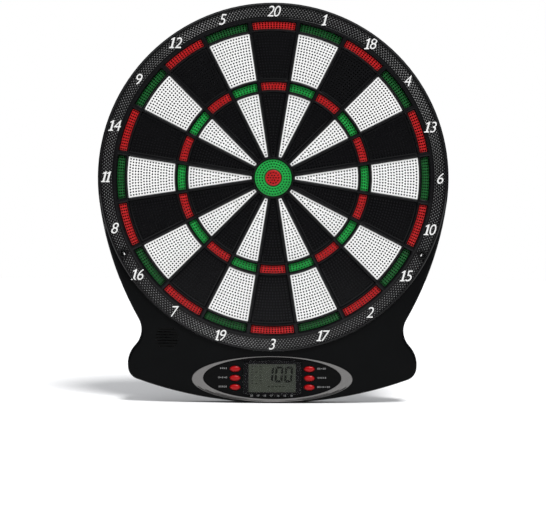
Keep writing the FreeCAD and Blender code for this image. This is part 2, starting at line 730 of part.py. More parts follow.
def speaker_cone():
    r = SPEAKER_RADIUS
    return revolved([
        (0, 18.6), (3.4, 17.4), (3.6, 17.4), (r - 4.4, 21.1), (r - 3.1, 21.1), (r - 3.1, 20.8),
        (r - 4.3, 20.8), (3.7, 17.1), (0, 17.1),
    ], SPEAKER)


def speaker_magnet():
    return disc(7.5, 10.4, 14.8, SPEAKER)


def cells():
    """(row y, +1 or -1 for which way the positive end points) of the three cells, wired in series."""
    middle = sum(CELL_Y) / 2
    return [(middle + k * CELL_STEP, 1 if k % 2 == 0 else -1) for k in (-1, 0, 1)]


def tag_places():
    """(bay wall x, which way is out, row y) of the solder tags at the two ends of the series."""
    (low_y, _), _, (high_y, _) = cells()
    return [(CELL_X[1], 1, low_y), (CELL_X[0], -1, high_y)]


def solder_tags():
    """Strips that carry the first and last contact plates out through the bay's side walls."""
    tags = []
    for wall, out, y in tag_places():
        tags.append(box((wall - out * 0.7, wall + out * TAG_REACH), (y - 1.5, y + 1.5), TAG_LOW, TAG_HIGH))
    return tags


def battery_contacts():
    plates = [cell_part(plate, y, way) for y, way in cells() for plate in contact_plates()]
    for tag in solder_tags():
        touching = min(plates, key=lambda plate: plate.distToShape(tag)[0])
        plates[plates.index(touching)] = touching.fuse(tag).removeSplitter()
    return Part.makeCompound(plates)


def cell_part(shape, y, way):
    """Puts a shape drawn along +x from the bay's spring end into a cell's place."""
    placed = shape.copy()
    start = CELL_X[0] if way > 0 else CELL_X[1]
    if way < 0:
        placed.rotate(Vector(0, 0, 0), Vector(0, 0, 1), 180)
    placed.translate(Vector(start, y, CELL_Z))
    return placed


def rod(radius, low, high):
    return Part.makeCylinder(radius, high - low, Vector(low, 0, 0), Vector(1, 0, 0))


def battery():
    start = 0.8 + SPRING_LENGTH
    body = rod(CELL_RADIUS, start, start + CELL_BODY)
    return body.fuse(rod(2.6, start + CELL_BODY - 0.1, start + CELL_BODY + CELL_NUB))


def battery_spring():
    """A bent leaf between the contact plate and the cell: a foot, a sloping arm, a flat and a return arm."""
    near, far = 0.7, 0.8 + SPRING_LENGTH
    profile = [
        (near, -4.4), (near + 0.4, -4.4), (near + 0.4, -4.08), (far, -1.0), (far, 1.0), (2.1, 3.29),
        (1.85, 2.97), (far - 0.4, 0.8), (far - 0.4, -0.8), (near, -3.88),
    ]
    corners = [Vector(x, -LEAF_HALF_WIDTH, z) for x, z in profile]
    face = Part.Face(Part.makePolygon(corners + corners[:1]))
    return face.extrude(Vector(0, 2 * LEAF_HALF_WIDTH, 0))


def contact_plates():
    """The plate behind the spring and the one with a bump for the positive end."""
    spring_plate = Part.makeBox(0.5, 11, 9, Vector(0.2, -5.5, -4.5))
    inner = CELL_X[1] - CELL_X[0]
    plus = Part.makeBox(0.5, 11, 9, Vector(inner - 0.7, -5.5, -4.5))
    bump_start = 0.8 + SPRING_LENGTH + CELL_BODY + CELL_NUB
    return [spring_plate, plus.fuse(rod(2.8, bump_start, inner - 0.6))]


def lead(points, radius):
    """A round lead along straight runs joined by tangent arcs."""
    knots = [Vector(*p) for p in points]
    edges = []
    start = knots[0]
    for before, corner, after in zip(knots, knots[1:], knots[2:]):
        back, on = before - corner, after - corner
        reach = 0.45 * min(back.Length, on.Length)
        enter, leave = towards(corner, before, reach), towards(corner, after, reach)
        bend = reach * math.tan(back.getAngle(on) / 2)
        centre = towards(corner, (enter + leave) * 0.5, math.hypot(reach, bend))
        edges.append(Part.LineSegment(start, enter).toShape())
        edges.append(Part.Arc(enter, towards(centre, corner, bend), leave).toShape())
        start = leave
    edges.append(Part.LineSegment(start, knots[-1]).toShape())
    profile = Part.Wire(Part.Circle(knots[0], knots[1] - knots[0], radius).toShape())
    return Part.Wire(edges).makePipeShell([profile], True, False)


def battery_wires():
    """One lead from each solder tag to the board; the lower one passes under the bay."""
    tag = (TAG_LOW + TAG_HIGH) / 2
    under = BOARD_UNDER
    (right, _, low_y), (left, _, high_y) = tag_places()
    upper = [
        (left - TAG_REACH, high_y, tag), (91, high_y, tag), (83, -217, 10.4), (73, -231, 8.4), (63, -244, 8),
        (54.5, -252, 8.8), (54.5, -252, under),
    ]
    lower = [
        (right + TAG_REACH, low_y, tag), (166.3, low_y, tag), (167, -246.8, 9), (162, -253.2, 6.6),
        (148, -254.3, 6), (128, -255.4, 6.1), (108, -257, 6.4), (88, -258.8, 7.2), (70, -261.2, 8),
        (54.5, -262.3, 8.6), (54.5, -262.3, under),
    ]
    return Part.makeCompound([lead(upper, 0.7), lead(lower, 0.7)])


def speaker_wires():
    """Two leads from the speaker's basket to the board."""
    seat = 14.8
    under = BOARD_UNDER
    upper = [
        (-125.9, -206.2, seat), (-125.9, -206.2, 12), (-117, -214, 10.5), (-104, -226, 9.5), (-88, -237, 9),
        (-71, -246, 8.8), (-54, -252.3, 8.9), (-54, -252.3, under),
    ]
    lower = [
        (-129.5, -210.5, seat), (-129.5, -210.5, 12), (-120, -221, 10), (-106, -233, 9), (-90, -244, 8.5),
        (-72, -254, 8.4), (-54.5, -262.3, 8.8), (-54.5, -262.3, under),
    ]
    return Part.makeCompound([lead(upper, 0.6), lead(lower, 0.6)])


# ---------------------------------------------------------------- screws

def housing_screws():
    return Part.makeCompound([screw(x, y, 0.1, 1.3, 12.0, 2.8, 1.25) for x, y in housing_screw_places()])


def ring_screws():
    found = places(RING_SCREW_CIRCLE, RING_SCREW_DEGS)
    return Part.makeCompound([screw(x, y, 14.6, SPIDER_UNDER, 21.5, 2.4, 1.15) for x, y in found])


def plate_screws():
    found = places(PLATE_SCREW_CIRCLE, PLATE_SCREW_DEGS)
    return Part.makeCompound([screw(x, y, 7.3, PLATE_UNDER, 15.0, 2.2, 1.05) for x, y in found])


def board_screws():
    return Part.makeCompound([screw(x, y, 11.8, BOARD_UNDER, 19.5, 2.2, 1.1) for x, y in BOARD_POSTS])


# ---------------------------------------------------------------- assembly

def all_pieces():
    pieces = {
        "front_housing": front_housing(),
        "rear_housing": rear_housing(),
        "battery_door": battery_door(),
        "catch_ring": catch_ring(),
        "spider": spider(),
        "outer_bull": outer_bull(),
        "inner_bull": inner_bull(),
        "segment_cushion": sheet(FILM_TOP, CUSHION_TOP),
        "sensor_front_film": sheet(FILM_TOP - FILM, FILM_TOP),
        "sensor_spacer": sensor_spacer(),
        "sensor_rear_film": sheet(PLATE_TOP, PLATE_TOP + FILM),
        "backing_plate": backing_plate(),
        "ribbon_cable": ribbon_cable(),
        "oval_trim": oval_trim(),
        "console_panel": console_panel(),
        "display_lens": lens_shape(LENS_GAP, LENS_UNDER, FACE),
        "lcd_glass": lcd_glass(),
        "lcd_frame": lcd_frame(),
        "lcd_connector": lcd_connector(),
        "keypad": keypad(),
        "control_board": control_board(),
        "board_components": board_components(),
        "speaker_frame": speaker_frame(),
        "speaker_cone": speaker_cone(),
        "speaker_magnet": speaker_magnet(),
        "speaker_wires": speaker_wires(),
        "batteries": Part.makeCompound([cell_part(battery(), y, way) for y, way in cells()]),
        "battery_springs": Part.makeCompound([cell_part(battery_spring(), y, way) for y, way in cells()]),
        "battery_contacts": battery_contacts(),
        "battery_wires": battery_wires(),
        "housing_screws": housing_screws(),
        "ring_screws": ring_screws(),
        "plate_screws": plate_screws(),
        "board_screws": board_screws(),
    }
    for index, number in enumerate(NUMBERS):
        pieces[f"sector_{number:02d}"] = sector(index)
    for name, x, y in button_places():
        pieces[name] = button(x, y)
    return pieces


def export(pieces):
    os.makedirs("parts", exist_ok=True)
    for name, shape in pieces.items():
        placed = shape.copy()
        placed.rotate(Vector(0, 0, 0), Vector(1, 0, 0), 90)
        placed.exportStep(f"parts/{name}.step")


export(all_pieces())
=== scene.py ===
"""Looks of the electronic dartboard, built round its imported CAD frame.

Pieces are drawn in millimetres on the board: x to the right, y up, d out from the wall. They are turned
into the row frame, metres with the face towards -Y, when their meshes are made.
"""

import math

import bmesh
import bpy
from mathutils import Matrix, Vector
from mathutils.geometry import delaunay_2d_cdt


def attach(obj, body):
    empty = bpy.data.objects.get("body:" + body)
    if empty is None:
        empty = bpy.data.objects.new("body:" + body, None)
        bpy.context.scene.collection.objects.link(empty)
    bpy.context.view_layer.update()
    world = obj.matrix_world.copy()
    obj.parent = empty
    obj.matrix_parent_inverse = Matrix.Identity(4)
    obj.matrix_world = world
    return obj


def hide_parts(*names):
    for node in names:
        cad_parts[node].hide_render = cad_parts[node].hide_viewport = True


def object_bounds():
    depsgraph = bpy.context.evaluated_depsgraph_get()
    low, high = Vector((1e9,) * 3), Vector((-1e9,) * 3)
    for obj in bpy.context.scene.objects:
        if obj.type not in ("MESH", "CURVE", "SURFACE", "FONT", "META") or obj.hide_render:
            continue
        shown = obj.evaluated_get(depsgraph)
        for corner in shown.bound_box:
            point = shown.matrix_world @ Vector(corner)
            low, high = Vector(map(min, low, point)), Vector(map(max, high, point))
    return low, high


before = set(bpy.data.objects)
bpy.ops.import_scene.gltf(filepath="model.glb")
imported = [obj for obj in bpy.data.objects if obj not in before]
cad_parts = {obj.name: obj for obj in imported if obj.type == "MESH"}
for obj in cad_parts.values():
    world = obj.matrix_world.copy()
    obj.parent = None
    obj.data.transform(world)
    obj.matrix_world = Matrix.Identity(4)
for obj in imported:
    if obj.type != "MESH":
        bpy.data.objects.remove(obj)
cad_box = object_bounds()

MM = 0.001

# Target, as in the CAD.
NUMBERS = (20, 1, 18, 4, 13, 6, 10, 15, 2, 17, 3, 19, 7, 16, 8, 11, 14, 9, 12, 5)
SECTOR_DEG = 18.0
BULL_RING = 25.4
RINGS = {
    "inner_single": (25.4, 109.6),
    "triple": (109.6, 123.1),
    "outer_single": (123.1, 186.8),
    "double": (186.8, 199.8),
}
SIDE_EXTRA = {"inner_single": 0.4, "triple": 0.8, "outer_single": 0.4, "double": 1.5}
SEGMENT_INSET = 2.1
FLANGE_INSET = 1.0
FLANGE_TOP = 15.7
SEGMENT_FOOT = 14.7
SEGMENT_FACE = 25.0
GREEN_FACE = 22.6
SEGMENT_PLATE = 4.0
SKIRT = 0.32
BULL_RADIUS = 23.3
BULL_LIP = 11.5
BULL_LEDGE = 21.8
BULL_BORE = 10.3
INNER_BULL = 10.0
# Rounded edge of a segment's face: its width, and how far in its middle point lies.
EDGE_ROUND = 0.42
EDGE_MIDDLE = 0.12
LIP_ROUND = 0.35
LIP_MIDDLE = 0.1
BULL_FLANGE = 1.0
BULL_WALL = 1.2
BULL_COLLAR = 2.0
BULL_COLLAR_RISE = 2.6
INNER_FLANGE = 1.9
INNER_FLANGE_RISE = 1.2
# Radius of each ring of holes and their number.
BULL_HOLES = ((14.1, 25), (17.5, 31), (20.9, 37))
INNER_BULL_HOLES = ((3.4, 6), (6.9, 12))

# Spider: how far each loop of a cell stands off the ring and sector lines, and its height.
RIDGE = ((0.15, 27.0), (0.42, 26.93), (0.75, 26.5), (1.25, 25.8), (1.7, 25.1), (1.8, 24.6), (1.8, 16.0))
SPIDER_RIM = ((202.3, 27.0), (202.65, 26.86), (202.8, 26.5), (202.8, 17.6), (212.0, 17.6), (212.0, 16.0),
              (206.4, 16.0), (206.4, 11.5), (202.6, 11.5), (202.6, 16.0))

# Perforation: radius of the holes and width of the flare round their mouths.
HOLE = {
    "inner_single": (1.18, 0.2), "triple": (1.12, 0.1), "outer_single": (1.18, 0.2), "double": (1.12, 0.1),
    "bull": (1.05, 0.14),
}
HOLE_FLARE_DEPTH = 0.17
HOLE_PITCH = 3.5
HOLE_MARGIN = {"inner_single": 2.9, "triple": 1.75, "outer_single": 3.0, "double": 1.65}
HOLE_SIDES = 8
# Painted shade down in the holes and flanks: the depths below a face where it starts and where it is full,
# and the tone that it leaves.
HOLE_SHADE_START = 0.25
HOLE_SHADE_END = 1.6
HOLE_SHADE_TONE = 0.12
# Radii between which a segment's colour goes over to the painted shade of the double ring.
DOUBLE_SHADE_FADE = (185.0, 187.0)

# Honeycomb in the catch ring's trough.
COMB_CELLS = 330
COMB_ROWS = 5
COMB_STEP = 2.43
COMB_START = 205.62
# Size of each loop of a pocket, its height at the three peaked corners and at the other three.
COMB_PROFILE = ((1.0, 27.0, 26.5), (0.84, 26.97, 26.45), (0.68, 26.75, 26.3), (0.64, 24.5, 24.5))
# Heights between which the pocket peaks are painted grey as highlights.
COMB_HIGHLIGHT = (26.76, 26.9)
COMB_BASE = 24.02
COLLAR_CIRCLE = 212.8
COLLAR_DEGS = (-27.0, -153.0)
COLLAR_CLEAR = 7.4

NUMERAL_CIRCLE = 211.6
NUMERAL_HEIGHT = 13.6
NUMERAL_SLANT = 0.27
NUMERAL_FOOT = 26.3
NUMERAL_RISE = 1.75
NUMERAL_REACH = 217.6
# The farthest that a numeral is moved in, to stay within its reach.
NUMERAL_SHIFT = 1.6
NUMERAL_BEVEL = 0.1
NUMERAL_WEIGHT = -0.012
# Outline of the digit 1, in digit heights.
ONE = [(-0.24, 0), (0.2, 0), (0.2, 0.09), (0.07, 0.12), (0.07, 1), (-0.02, 1), (-0.25, 0.84),
       (-0.25, 0.76), (-0.09, 0.8), (-0.09, 0.12), (-0.24, 0.09)]
ONE_WIDTH = 0.38
DIGIT_WIDTH = 0.62
DIGIT_SQUEEZE = 0.94

# Console.
OVAL_Y = -254.0
TRIM_OUTER = (101.6, 28.9)
TRIM_INNER = (87.6, 26.7)
TRIM_OUTER_Y = -255.2
TRIM_INNER_Y = -253.7
TRIM_FOOT = 24.0
TRIM_TOP = 25.6
# The silver covers what is above the first place off the wall and has gone at the second; below that the
# grooves are black, as painted shade.
TRIM_SHADE_START = 25.1
TRIM_SHADE_FULL = 24.8
TRIM_EDGE = 0.06
TRIM_EDGE_DROP = 0.5
TRIM_GROOVE = 1.3
# Middle and half width across the band, and the span of depths below the centre line they run over.
TRIM_GROOVES = ((0.14, 0.07, 0.3, 0.93), (0.33, 0.08, 0.45, 1.0), (0.55, 0.07, 0.62, 0.95))
BUTTON_X = 47.1
BUTTON_STEP = 11.6
BUTTON_ROWS = {"top": 1, "middle": 0, "bottom": -1}
# Half width, half height and place off the wall of each loop of a button, from its foot to its crown.
BUTTON_PROFILE = (
    (6.9, 4.0, 18.8), (6.9, 4.0, 20.4), (8.3, 5.2, 20.4), (8.3, 5.2, 21.6), (6.9, 4.0, 21.6),
    (6.9, 4.0, 22.0), (6.5, 3.6, 22.3), (6.45, 3.55, 24.2), (6.35, 3.48, 24.7), (6.1, 3.3, 25.2),
    (5.65, 3.0, 25.65), (4.95, 2.55, 25.98), (4.0, 2.0, 26.2), (2.8, 1.4, 26.34), (1.3, 0.65, 26.4),
)
PANEL_FACE = 24.0
PRINT = 0.05
LENS_UNDER = 22.6
LENS_OVAL = (86.4, 23.6)
LENS_HALF_WIDTH = 38.0
# How far inside the lens's edge the printed border ends.
BORDER_INSET = 1.35
BORDER_STEPS = 24
WINDOW_HALF_WIDTH = 30
WINDOW_RISE = 17.7
WINDOW_DROP = 18.1
# Width and signs of the printed row beside each button, left and right, from the top.
LEGEND_ROWS = (
    ((9.0, ">|>|"), (10.9, "o|-|o")),
    ((11.5, "o-|-o"), (11.8, "|+|+|")),
    ((11.2, "|o|o|"), (16.4, "o|->-|o")),
)
LEGEND_X = 57.1
LEGEND_RISE = 0.7
NUMBER_MARKS = ("20", "19", "18", "17", "16", "15")
NUMBER_MARK_START = -26.0
NUMBER_MARK_STEP = 8.45
NUMBER_MARK_Y = -276.2
NUMBER_MARK_HEIGHT = 2.5
LCD_TOP = 21.3
SCORE = (("1", -9.4), ("0", 2.6), ("0", 14.9))
SCORE_FOOT = -259.6
SCORE_WIDTH = 10.2
SCORE_HEIGHT = 20.2
SCORE_STROKE = 2.9
SCORE_LEAN = 0.09
DISPLAY_BARS = {"0": "abcdef", "1": "bc"}


# ---------------------------------------------------------------- mesh helpers

def polar(radius, degrees):
    turn = math.radians(degrees)
    return radius * math.cos(turn), radius * math.sin(turn)


def between(a, b, share):
    return a[0] + (b[0] - a[0]) * share, a[1] + (b[1] - a[1]) * share


def turned(point, turn):
    x, y = point
    return x * math.cos(turn) - y * math.sin(turn), x * math.sin(turn) + y * math.cos(turn)


def ellipse(half, count, at=(0.0, 0.0)):
    turns = [2 * math.pi * k / count for k in range(count)]
    return [(at[0] + half[0] * math.cos(t), at[1] + half[1] * math.sin(t)) for t in turns]


def circle(radius, count, at=(0.0, 0.0)):
    return ellipse((radius, radius), count, at)


class Shape:
    """A mesh being drawn: points in board millimetres and faces."""

    def __init__(self):
        self.points, self.faces = [], []

    def loop(self, outline, d):
        start = len(self.points)
        self.points += [(x, y, d) for x, y in outline]
        return list(range(start, len(self.points)))

    def bridge(self, first, second):
        for a, b, c, e in zip(first, first[1:] + first[:1], second[1:] + second[:1], second):
            self.faces.append((a, b, c, e))

    def tube(self, loops):
        for first, second in zip(loops, loops[1:]):
            self.bridge(first, second)

    def fill(self, outer, holes=()):
        """Triangles over the flat area inside the outer loop and outside the holes."""
        loops = [outer, *holes]
        order = [index for loop in loops for index in loop]
        owner = {index: n for n, loop in enumerate(loops) for index in loop}
        flat = [Vector(self.points[index][:2]) for index in order]
        edges, start = [], 0
        for loop in loops:
            edges += [(start + k, start + (k + 1) % len(loop)) for k in range(len(loop))]
            start += len(loop)
        _, _, triangles, origin, _, _ = delaunay_2d_cdt(flat, edges, [], 1, 1e-5)
        for triangle in triangles:
            face = tuple(order[origin[k][0]] for k in triangle)
            owners = {owner[index] for index in face}
            if len(owners) == 1:
                n = owners.pop()
                inside = self.holds(loops[n], face)
                if inside != (n == 0):
                    continue
            self.faces.append(face)

    def holds(self, loop, face):
        """True if the middle of the face lies inside the loop."""
        x = sum(self.points[k][0] for k in face) / 3
        y = sum(self.points[k][1] for k in face) / 3
        odd = False
        for a, b in zip(loop, loop[1:] + loop[:1]):
            (ax, ay, _), (bx, by, _) = self.points[a], self.points[b]
            if (ay > y) != (by > y) and x < (bx - ax) * (y - ay) / (by - ay) + ax:
                odd = not odd
        return odd

    def mesh(self, name, sharp=35.0):
        made = bpy.data.meshes.new(name)
        places = [(x * MM, -d * MM, y * MM) for x, y, d in self.points]
        made.from_pydata(places, [], self.faces)
        bm = bmesh.new()
        bm.from_mesh(made)
        bmesh.ops.recalc_face_normals(bm, faces=bm.faces)
        bm.to_mesh(made)
        bm.free()
        finish_mesh(made, sharp)
        return made


def finish_mesh(mesh, sharp=35.0):
    mesh.polygons.foreach_set("use_smooth", [True] * len(mesh.polygons))
    mesh.set_sharp_from_angle(angle=math.radians(sharp))
    mesh.update()


def add(name, mesh, body, slot, turn=0.0, replaced=(), look=None):
    """Puts a mesh in the scene as a piece that rides on a body; look is its material, if not its slot's."""
    piece = bpy.data.objects.new(name, mesh)
    bpy.context.scene.collection.objects.link(piece)
    if not mesh.materials:
        mesh.materials.append(material(slot))
    piece.matrix_world = Matrix.Rotation(math.radians(-turn), 4, "Y")
    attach(piece, body)
    if replaced:
        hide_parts(*replaced)
    if look:
        mesh.materials[0] = material(look)


# ---------------------------------------------------------------- materials

def srgb(*values):
    """Linear colour from 0-255 screen values."""
    scaled = [v / 255 for v in values]
    return [v / 12.92 if v <= 0.04045 else ((v + 0.055) / 1.055) ** 2.4 for v in scaled]


class Nodes:
    """A short way to wire a material."""

    def __init__(self, name):
        self.material = bpy.data.materials.new(name)
        self.material.use_nodes = True
        self.tree = self.material.node_tree
        self.shader = self.tree.nodes["Principled BSDF"]
        self.coordinates = self.tree.nodes.new("ShaderNodeTexCoord").outputs["Object"]

    def node(self, kind, inputs=None, **settings):
        made = self.tree.nodes.new(kind)
        for key, value in settings.items():
            setattr(made, key, value)
        for key, value in (inputs or {}).items():
            if isinstance(value, bpy.types.NodeSocket):
                self.tree.links.new(value, made.inputs[key])
            else:
                made.inputs[key].default_value = value
        return made

    def noise(self, scale, detail=3.0, roughness=0.5):
        inputs = {"Vector": self.coordinates, "Scale": scale, "Detail": detail, "Roughness": roughness}
        return self.node("ShaderNodeTexNoise", inputs).outputs["Fac"]

    def ramp(self, factor, stops):
        made = self.node("ShaderNodeValToRGB", {"Fac": factor})
        elements = made.color_ramp.elements
        while len(elements) < len(stops):
            elements.new(0.5)
        for element, (place, colour) in zip(elements, stops):
            element.position = place
            element.color = (*colour, 1.0)
        return made.outputs["Color"]

    def spread(self, factor, low, high):
        return self.node("ShaderNodeMapRange", {
            "Value": factor, "From Min": 0.3, "From Max": 0.7, "To Min": low, "To Max": high,
        }).outputs["Result"]

    def bump(self, height, strength, distance):
        inputs = {"Height": height, "Strength": strength, "Distance": distance}
        return self.node("ShaderNodeBump", inputs).outputs["Normal"]

    def put(self, **inputs):
        for key, value in inputs.items():
            socket = self.shader.inputs[key.replace("_", " ")]
            if isinstance(value, bpy.types.NodeSocket):
                self.tree.links.new(value, socket)
            else:
                socket.default_value = value


def plastic(name, colour, rough=(0.25, 0.35), shade=0.12, grain=2500.0, depth=0.00003, gloss=0.4,
            cloud=35.0, **more):
    """Moulded plastic: faint flow clouds in the colour, uneven gloss and a fine moulded grain."""
    made = Nodes(name)
    low = [c * (1 - shade) for c in colour]
    high = [min(1.0, c * (1 + shade)) for c in colour]
    made.put(
        Base_Color=made.ramp(made.noise(cloud, 4.0, 0.6), [(0.3, low), (0.7, high)]),
        Roughness=made.spread(made.noise(cloud * 4, 5.0, 0.65), *rough),
        Normal=made.bump(made.noise(grain, 2.0), 0.5, depth),
        Specular_IOR_Level=gloss,
        **more,
    )
    return made.material


def segment_plastic(name, colour, face, shade, outer=1.0):
    """Segment plastic with painted shade: darker down in the holes and flanks, and darker still in the double
    ring, as painted shadow of its rim.
    """
    made = Nodes(name)
    low = [c * (1 - shade) for c in colour]
    high = [min(1.0, c * (1 + shade)) for c in colour]
    unshaded = made.ramp(made.noise(35.0, 4.0, 0.6), [(0.3, low), (0.7, high)])
    split = made.node("ShaderNodeSeparateXYZ", {0: made.coordinates})
    # Painted shade: the colour darkens with depth below the face, in the holes and down the flanks.
    depth = made.node("ShaderNodeMapRange", {
        "Value": split.outputs["Y"],
        "From Min": (HOLE_SHADE_START - face) * MM, "From Max": (HOLE_SHADE_END - face) * MM,
        "To Min": 1.0, "To Max": HOLE_SHADE_TONE,
    })
    flat = made.node("ShaderNodeCombineXYZ", {0: split.outputs["X"], 1: split.outputs["Z"]})
    reach = made.node("ShaderNodeVectorMath", {0: flat.outputs[0]}, operation="LENGTH")
    # Painted shade of the double ring: past these radii the colour is darkened by the outer factor.
    double_ring_shade = made.node("ShaderNodeMapRange", {
        "Value": reach.outputs["Value"],
        "From Min": DOUBLE_SHADE_FADE[0] * MM, "From Max": DOUBLE_SHADE_FADE[1] * MM,
        "To Min": 1.0, "To Max": outer,
    })
    painted_shade = made.node("ShaderNodeMath", {0: depth.outputs[0], 1: double_ring_shade.outputs[0]}, operation="MULTIPLY")
    tone = made.node("ShaderNodeVectorMath", {0: unshaded, "Scale": painted_shade.outputs[0]}, operation="SCALE")
    made.put(
        Base_Color=tone.outputs[0],
        Roughness=made.spread(made.noise(140.0, 5.0, 0.65), 0.28, 0.38),
        Normal=made.bump(made.noise(2500.0, 2.0), 0.5, 0.00003),
        Specular_IOR_Level=0.4,
    )
    return made.material


def comb_plastic():
    """Black plastic whose peaks are painted grey as highlights."""
    made = Nodes("comb_black")
    split = made.node("ShaderNodeSeparateXYZ", {0: made.coordinates})
    # Painted highlight: the peaks of the pockets go grey, with a patchy noise, where the light would glint.
    highlight_mask = made.node("ShaderNodeMapRange", {
        "Value": split.outputs["Y"], "From Min": -COMB_HIGHLIGHT[1] * MM, "From Max": -COMB_HIGHLIGHT[0] * MM,
        "To Min": 1.0, "To Max": 0.0,
    })
    painted_highlight = made.ramp(made.noise(260.0, 4.0, 0.6), [(0.3, (0.09, 0.09, 0.09)), (0.7, (0.23, 0.23, 0.23))])
    plain_black = (0.003, 0.003, 0.0033, 1.0)
    tone = made.node("ShaderNodeMix", {0: highlight_mask.outputs[0], 6: plain_black, 7: painted_highlight}, data_type="RGBA")
    made.put(
        Base_Color=tone.outputs[2],
        Roughness=made.spread(made.noise(140.0, 5.0, 0.65), 0.18, 0.26),
        Normal=made.bump(made.noise(2500.0, 2.0), 0.5, 0.00003),
        Specular_IOR_Level=0.25,
    )
    return made.material


def metal(name, colour, rough=(0.25, 0.4), brush=(60.0, 60.0, 1800.0)):
    """Bare metal with drawn streaks and dull spots."""
    made = Nodes(name)
    stretched = made.node("ShaderNodeMapping", {"Vector": made.coordinates, "Scale": brush}).outputs["Vector"]
    lines = made.node("ShaderNodeTexNoise", {"Vector": stretched, "Scale": 1.0, "Detail": 4.0})
    streaks = lines.outputs["Fac"]
    low = [c * 0.8 for c in colour]
    made.put(
        Base_Color=made.ramp(made.noise(180.0, 4.0), [(0.35, low), (0.65, colour)]),
        Metallic=1.0,
        Roughness=made.spread(streaks, *rough),
        Normal=made.bump(streaks, 0.3, 0.00003),
    )
    return made.material


def silver_paint():
    """Metallic lacquer with flakes under a soft gloss; down in the grooves the colour goes to black as
    painted shade.
    """
    made = Nodes("trim_silver")
    flakes = made.node("ShaderNodeTexVoronoi", {"Vector": made.coordinates, "Scale": 3200.0})
    grey = made.ramp(flakes.outputs["Distance"], [(0.1, (0.115, 0.112, 0.11)), (0.6, (0.17, 0.165, 0.162))])
    split = made.node("ShaderNodeSeparateXYZ", {0: made.coordinates})
    # Painted shade: below the raised faces the colour fades to black in the grooves.
    groove_shade_mask = made.node("ShaderNodeMapRange", {
        "Value": split.outputs["Y"], "From Min": -TRIM_SHADE_START * MM, "From Max": -TRIM_SHADE_FULL * MM,
        "To Min": 0.0, "To Max": 1.0,
    })
    shade_black = (0.004, 0.004, 0.004, 1.0)
    silver_and_shade = made.node("ShaderNodeMix", {0: groove_shade_mask.outputs[0], 6: grey, 7: shade_black}, data_type="RGBA")
    made.put(
        Base_Color=silver_and_shade.outputs[2],
        Metallic=0.3,
        Roughness=made.spread(made.noise(240.0, 4.0), 0.3, 0.42),
        Normal=made.bump(flakes.outputs["Distance"], 0.12, 0.00002),
        Specular_IOR_Level=0.3,
    )
    return made.material


def lens():
    """Clear acrylic: nearly invisible, with a faint haze of fine scratches."""
    made = Nodes("lens_clear")
    haze = made.noise(120.0, 5.0, 0.6)
    made.put(
        Base_Color=made.ramp(haze, [(0.3, (0.012, 0.012, 0.013)), (0.8, (0.018, 0.018, 0.019))]),
        Roughness=made.spread(haze, 0.05, 0.09),
        Alpha=0.12,
        Specular_IOR_Level=0.12,
    )
    return made.material


def liquid_crystal():
    """Reflective display: grey-green cell with a faint grid of electrodes and an uneven backing."""
    made = Nodes("lcd_grey")
    backing = made.noise(30.0, 3.0)
    grid = made.node("ShaderNodeTexWave", {"Vector": made.coordinates, "Scale": 420.0}, bands_direction="X")
    cloudy = made.spread(backing, 0.25, 0.75)
    lines = made.node("ShaderNodeMath", {0: grid.outputs["Fac"], 1: 0.12}, operation="MULTIPLY")
    mottled = made.node("ShaderNodeMath", {0: cloudy, 1: lines.outputs[0]}, operation="ADD")
    made.put(
        Base_Color=made.ramp(mottled.outputs[0], [(0.2, srgb(46, 52, 42)), (0.9, srgb(60, 66, 52))]),
        Roughness=made.spread(backing, 0.3, 0.4),
        Normal=made.bump(grid.outputs["Fac"], 0.05, 0.00001),
    )
    return made.material


def circuit():
    """Green solder mask with darker bare strips between the copper tracks."""
    made = Nodes("board_green")
    tracks = made.node("ShaderNodeTexBrick", {
        "Vector": made.coordinates, "Scale": 220.0, "Mortar Size": 0.02,
        "Color1": (0.01, 0.12, 0.03, 1), "Color2": (0.012, 0.15, 0.04, 1), "Mortar": (0.02, 0.22, 0.06, 1),
    })
    made.put(
        Base_Color=tracks.outputs["Color"],
        Roughness=made.spread(made.noise(300.0), 0.3, 0.45),
        Normal=made.bump(tracks.outputs["Fac"], 0.3, 0.00003),
    )
    return made.material


def battery_jacket():
    """Printed shrink sleeve: dark body with a copper-coloured band."""
    made = Nodes("cell_jacket")
    along = made.node("ShaderNodeSeparateXYZ", {"Vector": made.coordinates}).outputs["X"]
    bands = made.node("ShaderNodeTexWave", {"Vector": made.coordinates, "Scale": 5.0}, bands_direction="X")
    scuffs = made.noise(400.0, 5.0)
    shifted = made.node("ShaderNodeMath", {0: bands.outputs["Fac"], 1: along}, operation="ADD")
    made.put(
        Base_Color=made.ramp(shifted.outputs[0], [(0.55, (0.012, 0.012, 0.014)), (0.6, (0.5, 0.2, 0.06))]),
        Roughness=made.spread(scuffs, 0.2, 0.35),
        Normal=made.bump(scuffs, 0.2, 0.00003),
    )
    return made.material


